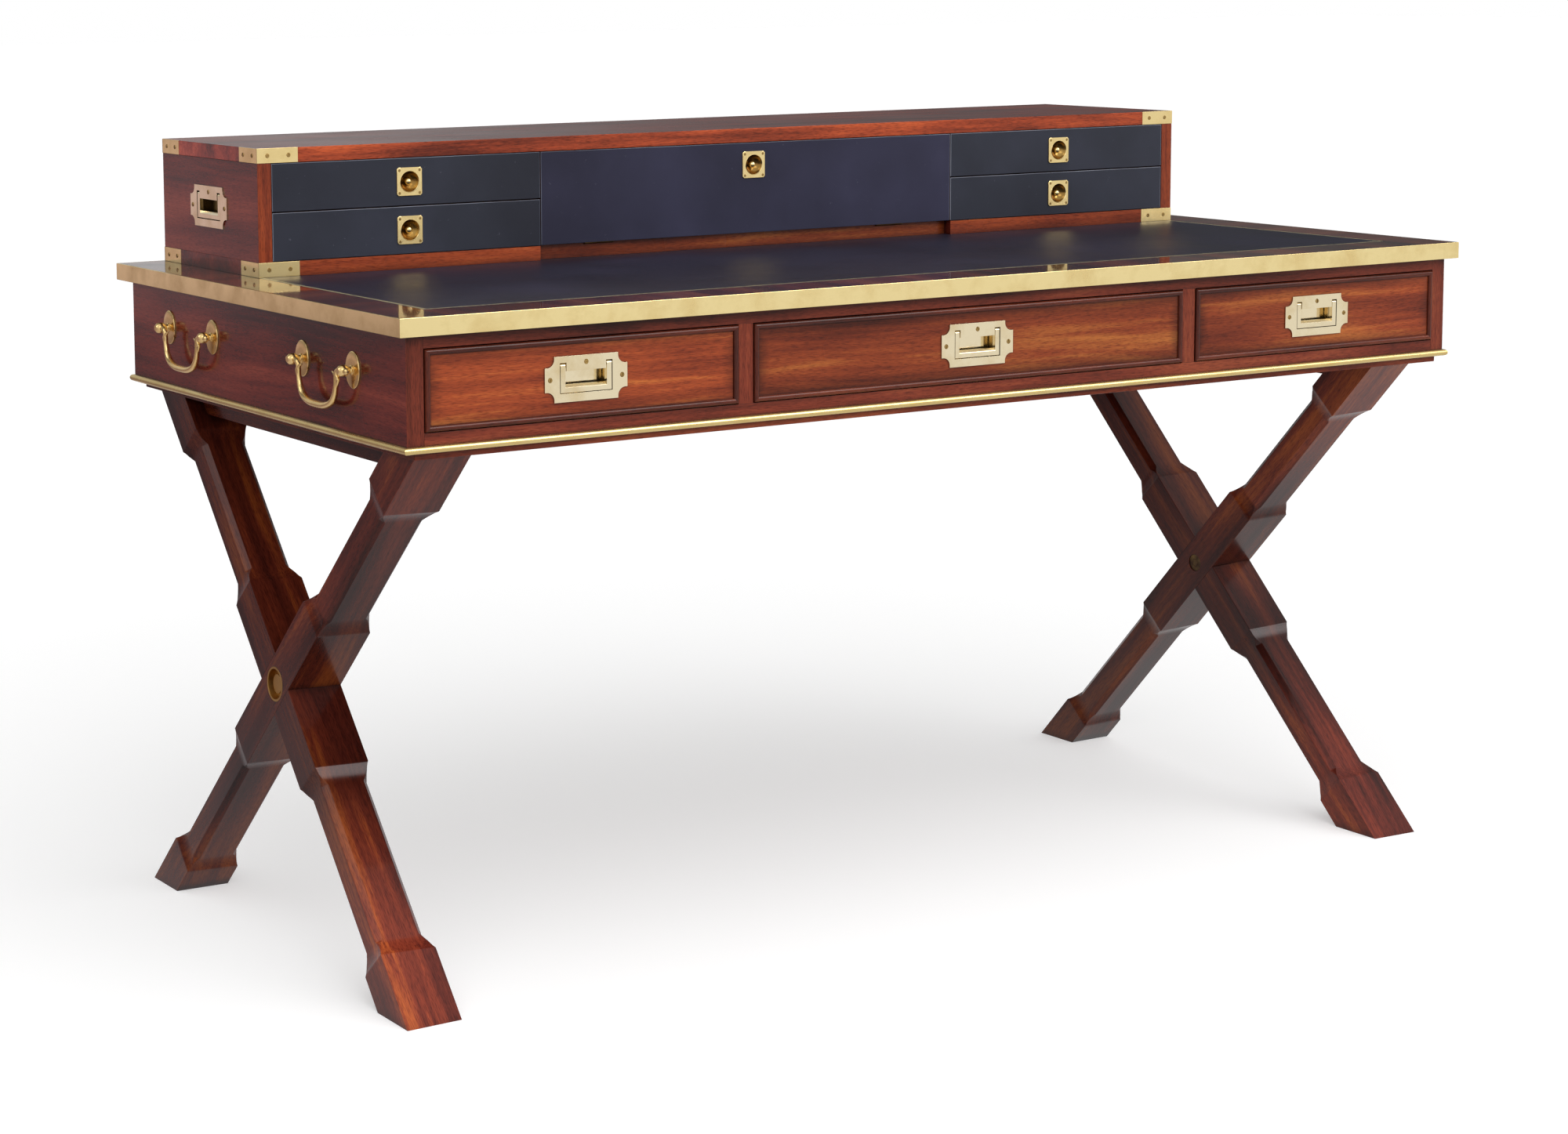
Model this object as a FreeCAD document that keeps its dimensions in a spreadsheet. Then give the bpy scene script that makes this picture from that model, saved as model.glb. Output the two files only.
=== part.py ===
import FreeCAD, Part
import math
import os
import types

import Sketcher
from FreeCAD import Placement, Rotation, Vector

# A campaign desk: a leather-topped case of three drawers on two crossed leg frames, with a lift-off
# gallery of four small drawers and a fall front. Millimetres, +Z up, the front towards -Y, and the
# origin on the floor under the middle of the top.

SIZES = (
    # Top: a crossbanded board with inset leather and a brass band round its edge
    ("desk_height", 762),
    ("top_width", 1496),
    ("top_depth", 736),
    ("top_thick", 20),
    ("band_thick", 3),
    ("crossband_width", 59),
    ("leather_thick", 1.5),
    # Case under the top
    ("overhang_end", 12.5),
    ("overhang_front", 11.5),
    ("overhang_back", 20),
    ("case_height", 115),
    ("end_thick", 20.5),
    ("back_thick", 15),
    ("rail_depth", 45),
    ("top_rail_height", 14),
    ("bottom_rail_height", 13),
    ("stile_width", 19),
    ("centre_opening", 614),
    ("partition_thick", 15),
    ("runner_width", 18),
    # Brass bead and base frame under the case
    ("bead_height", 8),
    ("bead_reach", 5),
    ("bead_depth", 15),
    ("bead_nose", 3.8),
    ("base_height", 7),
    ("base_width", 90),
    ("base_inset_end", 10),
    ("base_inset_front", 3),
    ("base_inset_back", 10),
    # Crossed leg frames
    ("leg_setback", 16),
    ("splay_angle", 2),
    ("leg_width", 49.5),
    ("leg_thick", 67),
    ("leg_inset", 5),
    ("leg_chamfer", 6.5),
    ("leg_cove", 22),
    ("foot_setback", 69),
    ("head_setback", 73),
    ("foot_block", 67),
    ("head_block", 76),
    ("cross_block", 250),
    ("leg_spare", 12),
    ("end_rail_thick", 27),
    ("end_rail_height", 24),
    # Bolt through each crossing, with its head in a brass cup
    ("bolt_diameter", 10),
    ("bolt_head_diameter", 22),
    ("bolt_head_height", 5),
    ("bolt_fit", 0.2),
    ("cup_diameter", 40),
    ("cup_depth", 11),
    ("cup_wall", 2.5),
    ("nut_diameter", 22),
    ("nut_height", 8),
    ("nut_sink", 9),
    # Frieze drawers
    ("drawer_gap", 0.8),
    ("drawer_lift", 0.5),
    ("drawer_front_thick", 20),
    ("drawer_rear_gap", 49.5),
    ("drawer_side_thick", 11),
    ("drawer_side_gap", 11.5),
    ("drawer_bottom_thick", 6),
    ("drawer_bottom_lift", 6),
    ("cockbead_width", 6.5),
    ("cockbead_depth", 6),
    ("cockbead_proud", 3),
    ("cockbead_nose", 2.8),
    # Flush handles: a notched plate, a box cup behind it and a hinged bail
    ("plate_width", 102),
    ("plate_height", 49),
    ("plate_thick", 1.5),
    ("notch_radius", 9),
    ("notch_step", 2.5),
    ("slot_width", 65),
    ("slot_floor", 9),
    ("slot_head", 7),
    ("tongue_height", 16),
    ("arm_slot", 8),
    ("box_depth", 12),
    ("box_wall", 1.2),
    ("box_fit", 0.2),
    ("bail_gap", 0.9),
    ("bail_thick", 5),
    ("bail_sink", 0.3),
    ("bail_arm", 6),
    ("bail_bar", 8.5),
    ("bail_bevel", 3),
    ("pivot_drop", 3.5),
    ("pin_diameter", 2.4),
    ("pin_fit", 0.05),
    ("pin_reach", 0.8),
    # Square pulls: a plate with a dished recess and a small sunk knob
    ("pull_size", 33.5),
    ("pull_thick", 1.5),
    ("dish_diameter", 24),
    ("dish_depth", 8),
    ("dish_wall", 1.5),
    ("dish_fit", 0.2),
    ("knob_diameter", 7),
    ("knob_stem", 4),
    ("knob_sink", 0.5),
    # Gallery that stands on the back of the top
    ("gallery_margin", 62),
    ("gallery_depth", 267.5),
    ("gallery_height", 149.5),
    ("gallery_inset", 6),
    ("board_thick", 17.5),
    ("gallery_back_thick", 8),
    ("divider_thick", 10),
    ("shelf_thick", 6),
    ("centre_bay", 619),
    ("front_gap", 1.5),
    ("front_wood", 11.5),
    ("facing_thick", 1.2),
    ("front_seat", 0.4),
    ("strap_front", 52),
    ("strap_side", 48),
    ("strap_thick", 1.2),
    ("small_rear_gap", 19.5),
    ("small_side_thick", 8),
    ("small_side_gap", 5.75),
    ("small_bottom_thick", 4),
    ("small_bottom_lift", 4),
    ("small_lift", 0.5),
    # Fall front and its two hinges
    ("fall_gap", 1),
    ("fall_pull_drop", 27.5),
    ("hinge_offset", 220),
    ("hinge_length", 42),
    ("leaf_width", 16),
    ("leaf_thick", 1.2),
    ("knuckle_diameter", 4.4),
    ("knuckle_gap", 0.2),
    ("hinge_pin", 1.8),
    ("hinge_fit", 0.05),
    # Swan-neck handles on the ends of the case
    ("handle_offset", 178),
    ("handle_span", 121),
    ("handle_drop", 47),
    ("rose_width", 32),
    ("rose_height", 40),
    ("rose_thick", 2.5),
    ("post_reach", 13),
    ("post_diameter", 8),
    ("eye_diameter", 13),
    ("rod_diameter", 6),
    ("eye_fit", 0.3),
    ("tail_reach", 9),
    ("tail_knob", 7.5),
    ("tail_knob_length", 5),
    ("tail_bevel", 1),
    ("neck_reach", 11),
    ("neck_radius", 8),
    ("neck_collar", 8.5),
    ("collar_length", 4),
    ("bow_drop", 42),
    ("bow_radius", 24),
    ("grip_lap", 2.5),
    ("grip_diameter", 8.6),
)

doc = FreeCAD.newDocument("campaign_desk")
sheet = doc.addObject("Spreadsheet::Sheet", "dim")
for row, (alias, number) in enumerate(SIZES, start=1):
    sheet.set(f"A{row}", alias)
    sheet.set(f"B{row}", str(number))
    sheet.setAlias(f"B{row}", alias)
doc.recompute()


class Size:
    """A length that knows its formula on the sheet and its value."""

    def __init__(self, text, value):
        self.text = text
        self.value = value

    def __add__(self, other):
        other = size(other)
        return Size(f"({self.text} + {other.text})", self.value + other.value)

    def __sub__(self, other):
        other = size(other)
        return Size(f"({self.text} - {other.text})", self.value - other.value)

    def __mul__(self, other):
        other = size(other)
        return Size(f"({self.text} * {other.text})", self.value * other.value)

    def __truediv__(self, other):
        other = size(other)
        return Size(f"({self.text} / {other.text})", self.value / other.value)

    def __neg__(self):
        return Size(f"(0 - {self.text})", -self.value)

    def __rsub__(self, other):
        return size(other) - self

    __radd__ = __add__
    __rmul__ = __mul__


def size(value):
    return value if isinstance(value, Size) else Size(repr(value), value)


def root(value):
    return Size(f"sqrt({value.text})", math.sqrt(value.value))


def cosine(angle):
    return Size(f"cos({angle.text} * 1 deg)", math.cos(math.radians(angle.value)))


d = types.SimpleNamespace(**{alias: Size(f"dim.{alias}", sheet.get(alias)) for alias, number in SIZES})
ROOT_TWO = math.sqrt(2)
NODES = []

UPRIGHT = Rotation(Vector(1, 0, 0), 90)
FACING_LEFT = Rotation(Vector(0, 0, 1), -90)
FACING_RIGHT = Rotation(Vector(0, 0, 1), 90)
FACING_FRONT = Rotation()
ALONG = {
    "x": Rotation(Vector(0, 1, 0), 90),
    "y": Rotation(Vector(1, 0, 0), -90),
    "z": Rotation(),
}


def node(label, obj):
    obj.Label = label
    NODES.append(obj)
    return obj


def bind(obj, **sizes):
    for name, value in sizes.items():
        obj.setExpression(name, size(value).text)
    return obj


def put(obj, at, rotation=FACING_FRONT):
    obj.Placement = Placement(Vector(), rotation)
    for axis, value in zip("xyz", at):
        obj.setExpression(f"Placement.Base.{axis}", size(value).text)
    return obj


def span(middle, length):
    return (middle - length / 2, middle + length / 2)


def box(name, x, y, z):
    """A board between two values on each axis."""
    obj = doc.addObject("Part::Box", name)
    bind(obj, Length=size(x[1]) - x[0], Width=size(y[1]) - y[0], Height=size(z[1]) - z[0])
    return put(obj, (x[0], y[0], z[0]))


def cylinder(name, diameter, length, at, axis="z"):
    obj = doc.addObject("Part::Cylinder", name)
    bind(obj, Radius=size(diameter) / 2, Height=length)
    return put(obj, at, ALONG[axis])


def sphere(name, diameter, at):
    obj = doc.addObject("Part::Sphere", name)
    bind(obj, Radius=size(diameter) / 2)
    return put(obj, at)


def wedge(name, base, top, height, depth):
    """A trapezium of the given base and top spans on X and height on Y, carried through depth on Z."""
    obj = doc.addObject("Part::Wedge", name)
    bind(obj, Xmin=base[0], Xmax=base[1], X2min=top[0], X2max=top[1], Ymin=0, Ymax=height)
    return bind(obj, Zmin=depth[0], Zmax=depth[1], Z2min=depth[0], Z2max=depth[1])


def group(name, parts):
    obj = doc.addObject("Part::Compound", name)
    obj.Links = list(parts)
    return obj


def fuse(name, *parts):
    obj = doc.addObject("Part::MultiFuse", name)
    obj.Shapes = list(parts)
    return obj


def cut(name, base, tool):
    obj = doc.addObject("Part::Cut", name)
    obj.Base = base
    obj.Tool = tool
    return obj


def common(name, base, tool):
    obj = doc.addObject("Part::Common", name)
    obj.Base = base
    obj.Tool = tool
    return obj


def rounded(name, base, radius, choose):
    """Rounds the edges of base that choose picks."""
    doc.recompute()
    picked = [i for i, edge in enumerate(base.Shape.Edges, start=1) if choose(edge)]
    obj = doc.addObject("Part::Fillet", name)
    obj.Base = base
    obj.Edges = [(i, radius.value, radius.value) for i in picked]
    return obj


def mitred_frame(name, across, along, strip, depth, upright=False):
    """Four strips mitred at the corners, lying flat, or upright with its depth towards the front."""
    middle_u = (size(across[0]) + across[1]) / 2
    middle_v = (size(along[0]) + along[1]) / 2
    wide = size(across[1]) - across[0]
    deep = size(along[1]) - along[0]
    sides = (
        (0, wide, middle_u, along[0]),
        (180, wide, middle_u, along[1]),
        (-90, deep, across[0], middle_v),
        (90, deep, across[1], middle_v),
    )
    strips = []
    for turn, length, u, v in sides:
        half = length / 2
        inner = half - strip
        strip_obj = wedge(f"{name}_strip", (-half, half), (-inner, inner), strip, (0, size(depth[1]) - depth[0]))
        flat = Rotation(Vector(0, 0, 1), turn)
        if upright:
            put(strip_obj, (u, -size(depth[0]), v), UPRIGHT * flat)
        else:
            put(strip_obj, (u, v, depth[0]), flat)
        strips.append(strip_obj)
    return strips


def sketch_arc(start, middle, end):
    """An anticlockwise arc through three points, and which of its ends the start and the end became."""
    through = Part.Circle(start, middle, end)
    anticlockwise = (middle - start).cross(end - middle).z > 0
    first, last = (start, end) if anticlockwise else (end, start)
    angles = [math.atan2(point.y - through.Center.y, point.x - through.Center.x) for point in (first, last)]
    if angles[1] < angles[0]:
        angles[1] += 2 * math.pi
    circle = Part.Circle(through.Center, Vector(0, 0, 1), through.Radius)
    return Part.ArcOfCircle(circle, *angles), (1, 2) if anticlockwise else (2, 1)


def sketch(body, name, role, contours, closed=True):
    """Lines and arcs on an origin plane; a corner is (x, y), or (x, y, radius, middle) at the end of an arc."""
    obj = body.newObject("Sketcher::SketchObject", name)
    plane = next(feature for feature in body.Origin.OriginFeatures if feature.Role == role)
    obj.AttachmentSupport = (plane, [""])
    obj.MapMode = "FlatFace"

    def fix(edge, end, corner):
        for kind, value in zip(("DistanceX", "DistanceY"), corner[:2]):
            value = size(value)
            index = obj.addConstraint(Sketcher.Constraint(kind, edge, end, value.value))
            obj.setExpression(f"Constraints[{index}]", value.text)

    for corners in contours:
        first = obj.GeometryCount
        places = [Vector(size(corner[0]).value, size(corner[1]).value, 0) for corner in corners]
        steps = list(range(len(corners)) if closed else range(1, len(corners)))
        ends = []
        for i in steps:
            start, end, corner = places[i - 1], places[i], corners[i]
            if len(corner) == 2:
                edge, order = Part.LineSegment(start, end), (1, 2)
            else:
                edge, order = sketch_arc(start, Vector(*corner[3], 0), end)
            obj.addGeometry(edge, False)
            ends.append(order)
        for k, i in enumerate(steps):
            following = (k + 1) % len(steps)
            if closed or following:
                join = (first + k, ends[k][1], first + following, ends[following][0])
                obj.addConstraint(Sketcher.Constraint("Coincident", *join))
            fix(first + k, ends[k][1], corners[i])
            if len(corners[i]) > 2:
                radius = corners[i][2]
                index = obj.addConstraint(Sketcher.Constraint("Radius", first + k, radius.value))
                obj.setExpression(f"Constraints[{index}]", radius.text)
        if not closed:
            fix(first, ends[0][0], corners[0])
    return obj


def pad(body, profile, length, reverse=False):
    obj = body.newObject("PartDesign::Pad", f"{profile.Name}_pad")
    obj.Profile = profile
    obj.Reversed = reverse
    return bind(obj, Length=length)


def pocket_both_ways(body, profile, length):
    obj = body.newObject("PartDesign::Pocket", f"{profile.Name}_pocket")
    obj.Profile = profile
    obj.SideType = "Symmetric"
    return bind(obj, Length=length)


# Levels and faces that several pieces share
top_under = d.desk_height - d.top_thick
case_floor = top_under - d.case_height
bead_floor = case_floor - d.bead_height
base_floor = bead_floor - d.base_height
end_x = d.top_width / 2 - d.overhang_end
inner_end_x = end_x - d.end_thick
front_y = d.overhang_front - d.top_depth / 2
back_y = d.top_depth / 2 - d.overhang_back
back_face = back_y - d.back_thick
opening_floor = case_floor + d.bottom_rail_height
opening_head = top_under - d.top_rail_height
centre_x = d.centre_opening / 2
side_x = centre_x + d.stile_width


def build_top():
    half_x = d.top_width / 2
    half_y = d.top_depth / 2
    board_x = half_x - d.band_thick
    board_y = half_y - d.band_thick
    thickness = (top_under, d.desk_height)
    leather_x = board_x - d.crossband_width
    leather_y = board_y - d.crossband_width
    leather_floor = d.desk_height - d.leather_thick
    leather = box("leather_sheet", (-leather_x, leather_x), (-leather_y, leather_y), (leather_floor, d.desk_height))
    board = box("top_blank", (-board_x, board_x), (-board_y, board_y), thickness)
    node("top_board", cut("top_recessed", board, leather))
    node("top_leather", leather)
    band = mitred_frame("band", (-half_x, half_x), (-half_y, half_y), d.band_thick, thickness)
    node("top_brass_band", group("band", band))


def build_case():
    upright = (case_floor, top_under)
    deep = (front_y, back_y)
    ends = [box("end_left", (-end_x, -inner_end_x), deep, upright), box("end_right", (inner_end_x, end_x), deep, upright)]
    node("case_ends", group("ends", ends))
    between = (-inner_end_x, inner_end_x)
    node("case_back", box("back", between, (back_face, back_y), upright))
    rail = (front_y, front_y + d.rail_depth)
    frame = [
        box("top_rail", between, rail, (opening_head, top_under)),
        box("bottom_rail", between, rail, (case_floor, opening_floor)),
        box("stile_left", (-side_x, -centre_x), rail, (opening_floor, opening_head)),
        box("stile_right", (centre_x, side_x), rail, (opening_floor, opening_head)),
    ]
    node("case_front_frame", group("front_frame", frame))
    behind_rail = (rail[1], back_face)
    partition_x = (centre_x + side_x) / 2
    near_x = partition_x - d.partition_thick / 2
    far_x = partition_x + d.partition_thick / 2
    guides = [
        box("partition_left", (-far_x, -near_x), behind_rail, upright),
        box("partition_right", (near_x, far_x), behind_rail, upright),
    ]
    runner_z = (case_floor, opening_floor)
    for low, high in ((-inner_end_x, -far_x), (-near_x, near_x), (far_x, inner_end_x)):
        guides.append(box("runner", (low, low + d.runner_width), behind_rail, runner_z))
        guides.append(box("runner", (high - d.runner_width, high), behind_rail, runner_z))
    node("drawer_guides", group("guides", guides))


def build_base():
    inset_x = end_x - d.bead_depth
    inside_y = (front_y + d.bead_depth, back_y - d.bead_depth)
    node("bottom_board", box("bottom", (-inset_x, inset_x), inside_y, (bead_floor, case_floor)))
    reach_x = end_x + d.bead_reach
    reach_y = (front_y - d.bead_reach, back_y + d.bead_reach)
    strip = d.bead_depth + d.bead_reach
    strips = mitred_frame("bead", (-reach_x, reach_x), reach_y, strip, (bead_floor, case_floor))
    doc.recompute()
    beads = []
    for obj in strips:
        outer_length = max(edge.Length for edge in obj.Shape.Edges)
        longest = outer_length - strip.value
        beads.append(rounded("bead_round", obj, d.bead_nose, lambda edge, limit=longest: edge.Length > limit))
    node("brass_bead", group("bead", beads))
    base_x = end_x - d.base_inset_end
    base_y = (front_y + d.base_inset_front, back_y - d.base_inset_back)
    base = mitred_frame("base", (-base_x, base_x), base_y, d.base_width, (base_floor, bead_floor))
    node("base_frame", group("base", base))


# Each leg frame lies in a plane that leans inwards towards its top by the splay angle
frame_half_spread = d.top_width / 2 - d.leg_setback
foot_reach = d.top_depth / 2 - d.foot_setback
head_reach = d.top_depth / 2 - d.head_setback
frame_rise = base_floor / cosine(d.splay_angle)
frame_run = foot_reach + head_reach
frame_slant = root(frame_rise * frame_rise + frame_run * frame_run)
crossing_rise = frame_rise * foot_reach / frame_run
foot_length = frame_slant * foot_reach / frame_run
head_length = frame_slant * head_reach / frame_run
level_half_width = d.leg_width / 2 * frame_slant / frame_rise
leg_angle = math.degrees(math.atan2(frame_rise.value, frame_run.value))
LEAN_LEFT = Placement(Vector(-frame_half_spread.value, 0, 0), Rotation(Vector(0, 1, 0), d.splay_angle.value))
LEAN_RIGHT = Placement(Vector(), Rotation(Vector(0, 0, 1), 180)) * LEAN_LEFT
CROSSING = Placement(Vector(0, 0, crossing_rise.value), Rotation())


def leg_shafts():
    """The two narrowed lengths of a leg, each as the ends of its blocks."""
    return (
        (d.foot_block - foot_length, -d.cross_block / 2),
        (d.cross_block / 2, head_length - d.head_block),
    )


def cove_side(block_start, block_end, edge, shaft, outward):
    """Corners along one face of a shaft: a cove in from one block, a straight and a cove out to the next."""
    radius = (d.leg_cove * d.leg_cove + d.leg_inset * d.leg_inset) / (d.leg_inset * 2)
    turn = math.asin(d.leg_cove.value / radius.value) / 2
    along = radius.value * math.sin(turn)
    rise = radius.value * (1 - math.cos(turn))
    start = block_start + d.leg_cove
    end = block_end - d.leg_cove
    in_middle = (start.value - along, shaft.value + outward * rise)
    out_middle = (end.value + along, shaft.value + outward * rise)
    return [
        (block_start, edge),
        (start, shaft, radius, in_middle),
        (end, shaft),
        (block_end, edge, radius, out_middle),
    ]


def leg_body(name):
    """A leg along X: blocks at foot, crossing and head, with shafts drawn in by coves on all four faces."""
    body = doc.addObject("PartDesign::Body", name)
    half = d.leg_width / 2
    waist = half - d.leg_inset
    low = -(foot_length + half + d.leg_spare)
    high = head_length + half + d.leg_spare
    lower, upper = leg_shafts()
    upper_edge = cove_side(*lower, half, waist, 1) + cove_side(*upper, half, waist, 1)
    lower_edge = cove_side(*lower, -half, -waist, -1) + cove_side(*upper, -half, -waist, -1)
    outline = [(low, half)] + upper_edge + [(high, half), (high, -half)]
    # The lower edge runs back from head to foot, so each arc belongs to the corner before it
    returning = list(reversed(lower_edge))
    for i, corner in enumerate(returning):
        before = returning[i - 1]
        outline.append(corner[:2] + before[2:] if i > 0 and len(before) > 2 else corner[:2])
    outline.append((low, -half))
    pad(body, sketch(body, f"{name}_outline", "XY_Plane", [outline]), d.leg_thick)
    faces = []
    for shaft in (lower, upper):
        faces.append(cove_side(*shaft, size(0), d.leg_inset, -1))
        faces.append(cove_side(*shaft, d.leg_thick, d.leg_thick - d.leg_inset, 1))
    pocket_both_ways(body, sketch(body, f"{name}_faces", "XZ_Plane", faces), d.leg_width * 2)
    return body


def leg_chamfers(name):
    """Stopped chamfers along the shafts, running out at the corners of the blocks."""
    tools = []
    half_cut = d.leg_chamfer / 2
    reach = (half_cut + d.leg_inset) * ROOT_TWO
    width = d.leg_chamfer + d.leg_inset * 2
    side = d.leg_width / 2 - d.leg_inset - half_cut
    low = d.leg_inset + half_cut
    corners = (
        (45, side, d.leg_thick - low),
        (135, -side, d.leg_thick - low),
        (-45, side, low),
        (-135, -side, low),
    )
    for block_start, block_end in leg_shafts():
        for turn, w, depth in corners:
            base = (block_start + d.leg_cove, block_end - d.leg_cove)
            tool = wedge(f"{name}_chamfer", base, (block_start, block_end), reach, (-width, width))
            tools.append(put(tool, (0, w, depth), Rotation(Vector(1, 0, 0), turn)))
    return group(f"{name}_chamfers", tools)


def leg_joint(name, other_angle, depth):
    """The halving for the other leg, and the bores for the bolt, its cup and its nut."""
    reach = d.leg_width * 2
    notch = box(f"{name}_halving", (-reach, reach), span(size(0), d.leg_width), depth)
    turn = Rotation(Vector(0, 0, 1), other_angle)
    corner = turn.multVec(Vector(-reach.value, -d.leg_width.value / 2, 0))
    put(notch, (corner.x, corner.y, depth[0]), turn)
    bore = cylinder(f"{name}_bore", d.bolt_diameter + d.bolt_fit * 2, d.leg_thick, (0, 0, 0))
    cup = cylinder(f"{name}_cup_seat", d.cup_diameter + d.bolt_fit * 2, d.cup_depth, (0, 0, 0))
    nut_at = (0, 0, d.leg_thick - d.nut_sink)
    nut = cylinder(f"{name}_nut_seat", d.nut_diameter + d.bolt_fit * 2, d.nut_sink, nut_at)
    return fuse(f"{name}_joint", notch, bore, cup, nut)


def build_legs():
    half_x = d.top_width / 2
    half_y = d.top_depth / 2
    storey = box("leg_storey", (-half_x, half_x), (-half_y, half_y), (0, base_floor))
    middle = d.leg_thick / 2
    across = Rotation(Vector(0, 1, 0), Vector(0, 0, 1), Vector(1, 0, 0), "XYZ")
    kinds = (
        ("outer", 180 - leg_angle, leg_angle * 2, (middle, d.leg_thick)),
        ("inner", leg_angle, -leg_angle * 2, (size(0), middle)),
    )
    for hand, lean in (("left", LEAN_LEFT), ("right", LEAN_RIGHT)):
        for kind, rise_angle, other_angle, halving in kinds:
            name = f"leg_{hand}_{kind}"
            shaped = cut(f"{name}_shaped", leg_body(f"{name}_body"), leg_chamfers(name))
            jointed = cut(f"{name}_jointed", shaped, leg_joint(name, other_angle, halving))
            in_plane = Placement(Vector(), across * Rotation(Vector(0, 0, 1), rise_angle))
            jointed.Placement = lean * CROSSING * in_plane
            node(name, common(f"{name}_level", jointed, storey))
    build_end_rails(storey, across)
    build_cross_bolts()


def build_end_rails(storey, across):
    """A rail between the heads of each frame's legs, cut level with them at the top."""
    low = frame_rise - d.end_rail_height
    high = frame_rise + d.leg_spare
    slope = frame_run / frame_rise

    def half_length(rise):
        return slope * rise - foot_reach - level_half_width

    rails = []
    for lean in (LEAN_LEFT, LEAN_RIGHT):
        base = (-half_length(low), half_length(low))
        top = (-half_length(high), half_length(high))
        blank = wedge("end_rail_blank", base, top, high - low, span(d.leg_thick / 2, d.end_rail_thick))
        blank.Placement = lean * Placement(Vector(0, 0, low.value), across)
        rails.append(common("end_rail", blank, storey))
    node("end_rails", group("end_rails", rails))


def build_cross_bolts():
    """Through each crossing: a brass cup let into the outer face, a bolt in it and a sunk nut inside."""
    pieces = []
    through = Placement(Vector(), Rotation(Vector(0, 1, 0), 90))
    bore = d.bolt_diameter + d.bolt_fit * 2
    cup_floor = d.cup_depth - d.cup_wall
    nut_low = d.leg_thick - d.nut_sink
    for lean in (LEAN_LEFT, LEAN_RIGHT):
        hollow = cylinder("cup_hollow", d.cup_diameter - d.cup_wall * 2, cup_floor, (0, 0, 0))
        hole = cylinder("cup_hole", bore, d.cup_depth, (0, 0, 0))
        blank = cylinder("cup_blank", d.cup_diameter, d.cup_depth, (0, 0, 0))
        cup = cut("bolt_cup", blank, fuse("cup_space", hollow, hole))
        head = cylinder("bolt_head", d.bolt_head_diameter, d.bolt_head_height, (0, 0, cup_floor - d.bolt_head_height))
        shank = cylinder("bolt_shank", d.bolt_diameter, nut_low + d.nut_height - cup_floor, (0, 0, cup_floor))
        bolt = fuse("cross_bolt", head, shank)
        nut_blank = cylinder("nut_blank", d.nut_diameter, d.nut_height, (0, 0, nut_low))
        nut = cut("cross_nut", nut_blank, cylinder("nut_bore", bore, d.nut_height, (0, 0, nut_low)))
        for piece in (cup, bolt, nut):
            piece.Placement = lean * CROSSING * through
            pieces.append(piece)
    node("cross_bolts", group("bolts", pieces))


def notched_outline():
    """The plate of a flush handle: a rectangle with a stepped, hollow notch at each corner."""
    half_x = d.plate_width / 2
    half_z = d.plate_height / 2
    arc_x = half_x - d.notch_step
    arc_z = half_z - d.notch_step
    inner_x = arc_x - d.notch_radius
    inner_z = arc_z - d.notch_radius
    middle_x = arc_x.value - d.notch_radius.value / ROOT_TWO
    middle_z = arc_z.value - d.notch_radius.value / ROOT_TWO
    corners = []
    for sx, sz, flip in ((1, 1, False), (-1, 1, True), (-1, -1, False), (1, -1, True)):
        middle = (sx * middle_x, sz * middle_z)
        side = [(half_x * sx, inner_z * sz), (arc_x * sx, inner_z * sz)]
        head = [(inner_x * sx, arc_z * sz), (inner_x * sx, half_z * sz)]
        if flip:
            run = [head[1], head[0], side[1], side[0]]
        else:
            run = side + head
        run[2] = run[2] + (d.notch_radius, middle)
        corners.extend(run)
    return corners


# Heights on a flush handle, from the middle of its plate
slot_x = d.slot_width / 2
slot_low = d.slot_floor - d.plate_height / 2
slot_high = d.plate_height / 2 - d.slot_head
tongue_low = d.plate_height / 2 - d.tongue_height
tongue_x = slot_x - d.arm_slot
pivot_z = slot_high - d.pivot_drop
bail_front = d.bail_sink - d.plate_thick
pivot_y = bail_front + d.bail_thick / 2


def flush_plate(name, at, rotation):
    """Plate with a U-shaped opening, and the box behind it that holds the bail and the fingers."""
    body = doc.addObject("PartDesign::Body", f"{name}_plate")
    opening = [
        (-slot_x, slot_low),
        (slot_x, slot_low),
        (slot_x, slot_high),
        (tongue_x, slot_high),
        (tongue_x, tongue_low),
        (-tongue_x, tongue_low),
        (-tongue_x, slot_high),
        (-slot_x, slot_high),
    ]
    pad(body, sketch(body, f"{name}_outline", "XZ_Plane", [notched_outline(), opening]), d.plate_thick)
    wall = d.box_wall
    outer = box(
        f"{name}_box_outer",
        (-slot_x - wall, slot_x + wall),
        (0, d.box_depth + wall),
        (slot_low - wall, slot_high + wall),
    )
    inner = box(f"{name}_box_inner", (-slot_x, slot_x), (0, d.box_depth), (slot_low, slot_high))
    shell = cut(f"{name}_box", outer, inner)
    hole_length = d.slot_width + wall * 2
    hole_at = (-hole_length / 2, pivot_y, pivot_z)
    hole = cylinder(f"{name}_pin_hole", d.pin_diameter + d.pin_fit * 2, hole_length, hole_at, "x")
    plate = cut(f"{name}_plate_and_box", fuse(f"{name}_brass", body, shell), hole)
    return put(plate, at, rotation)


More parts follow.
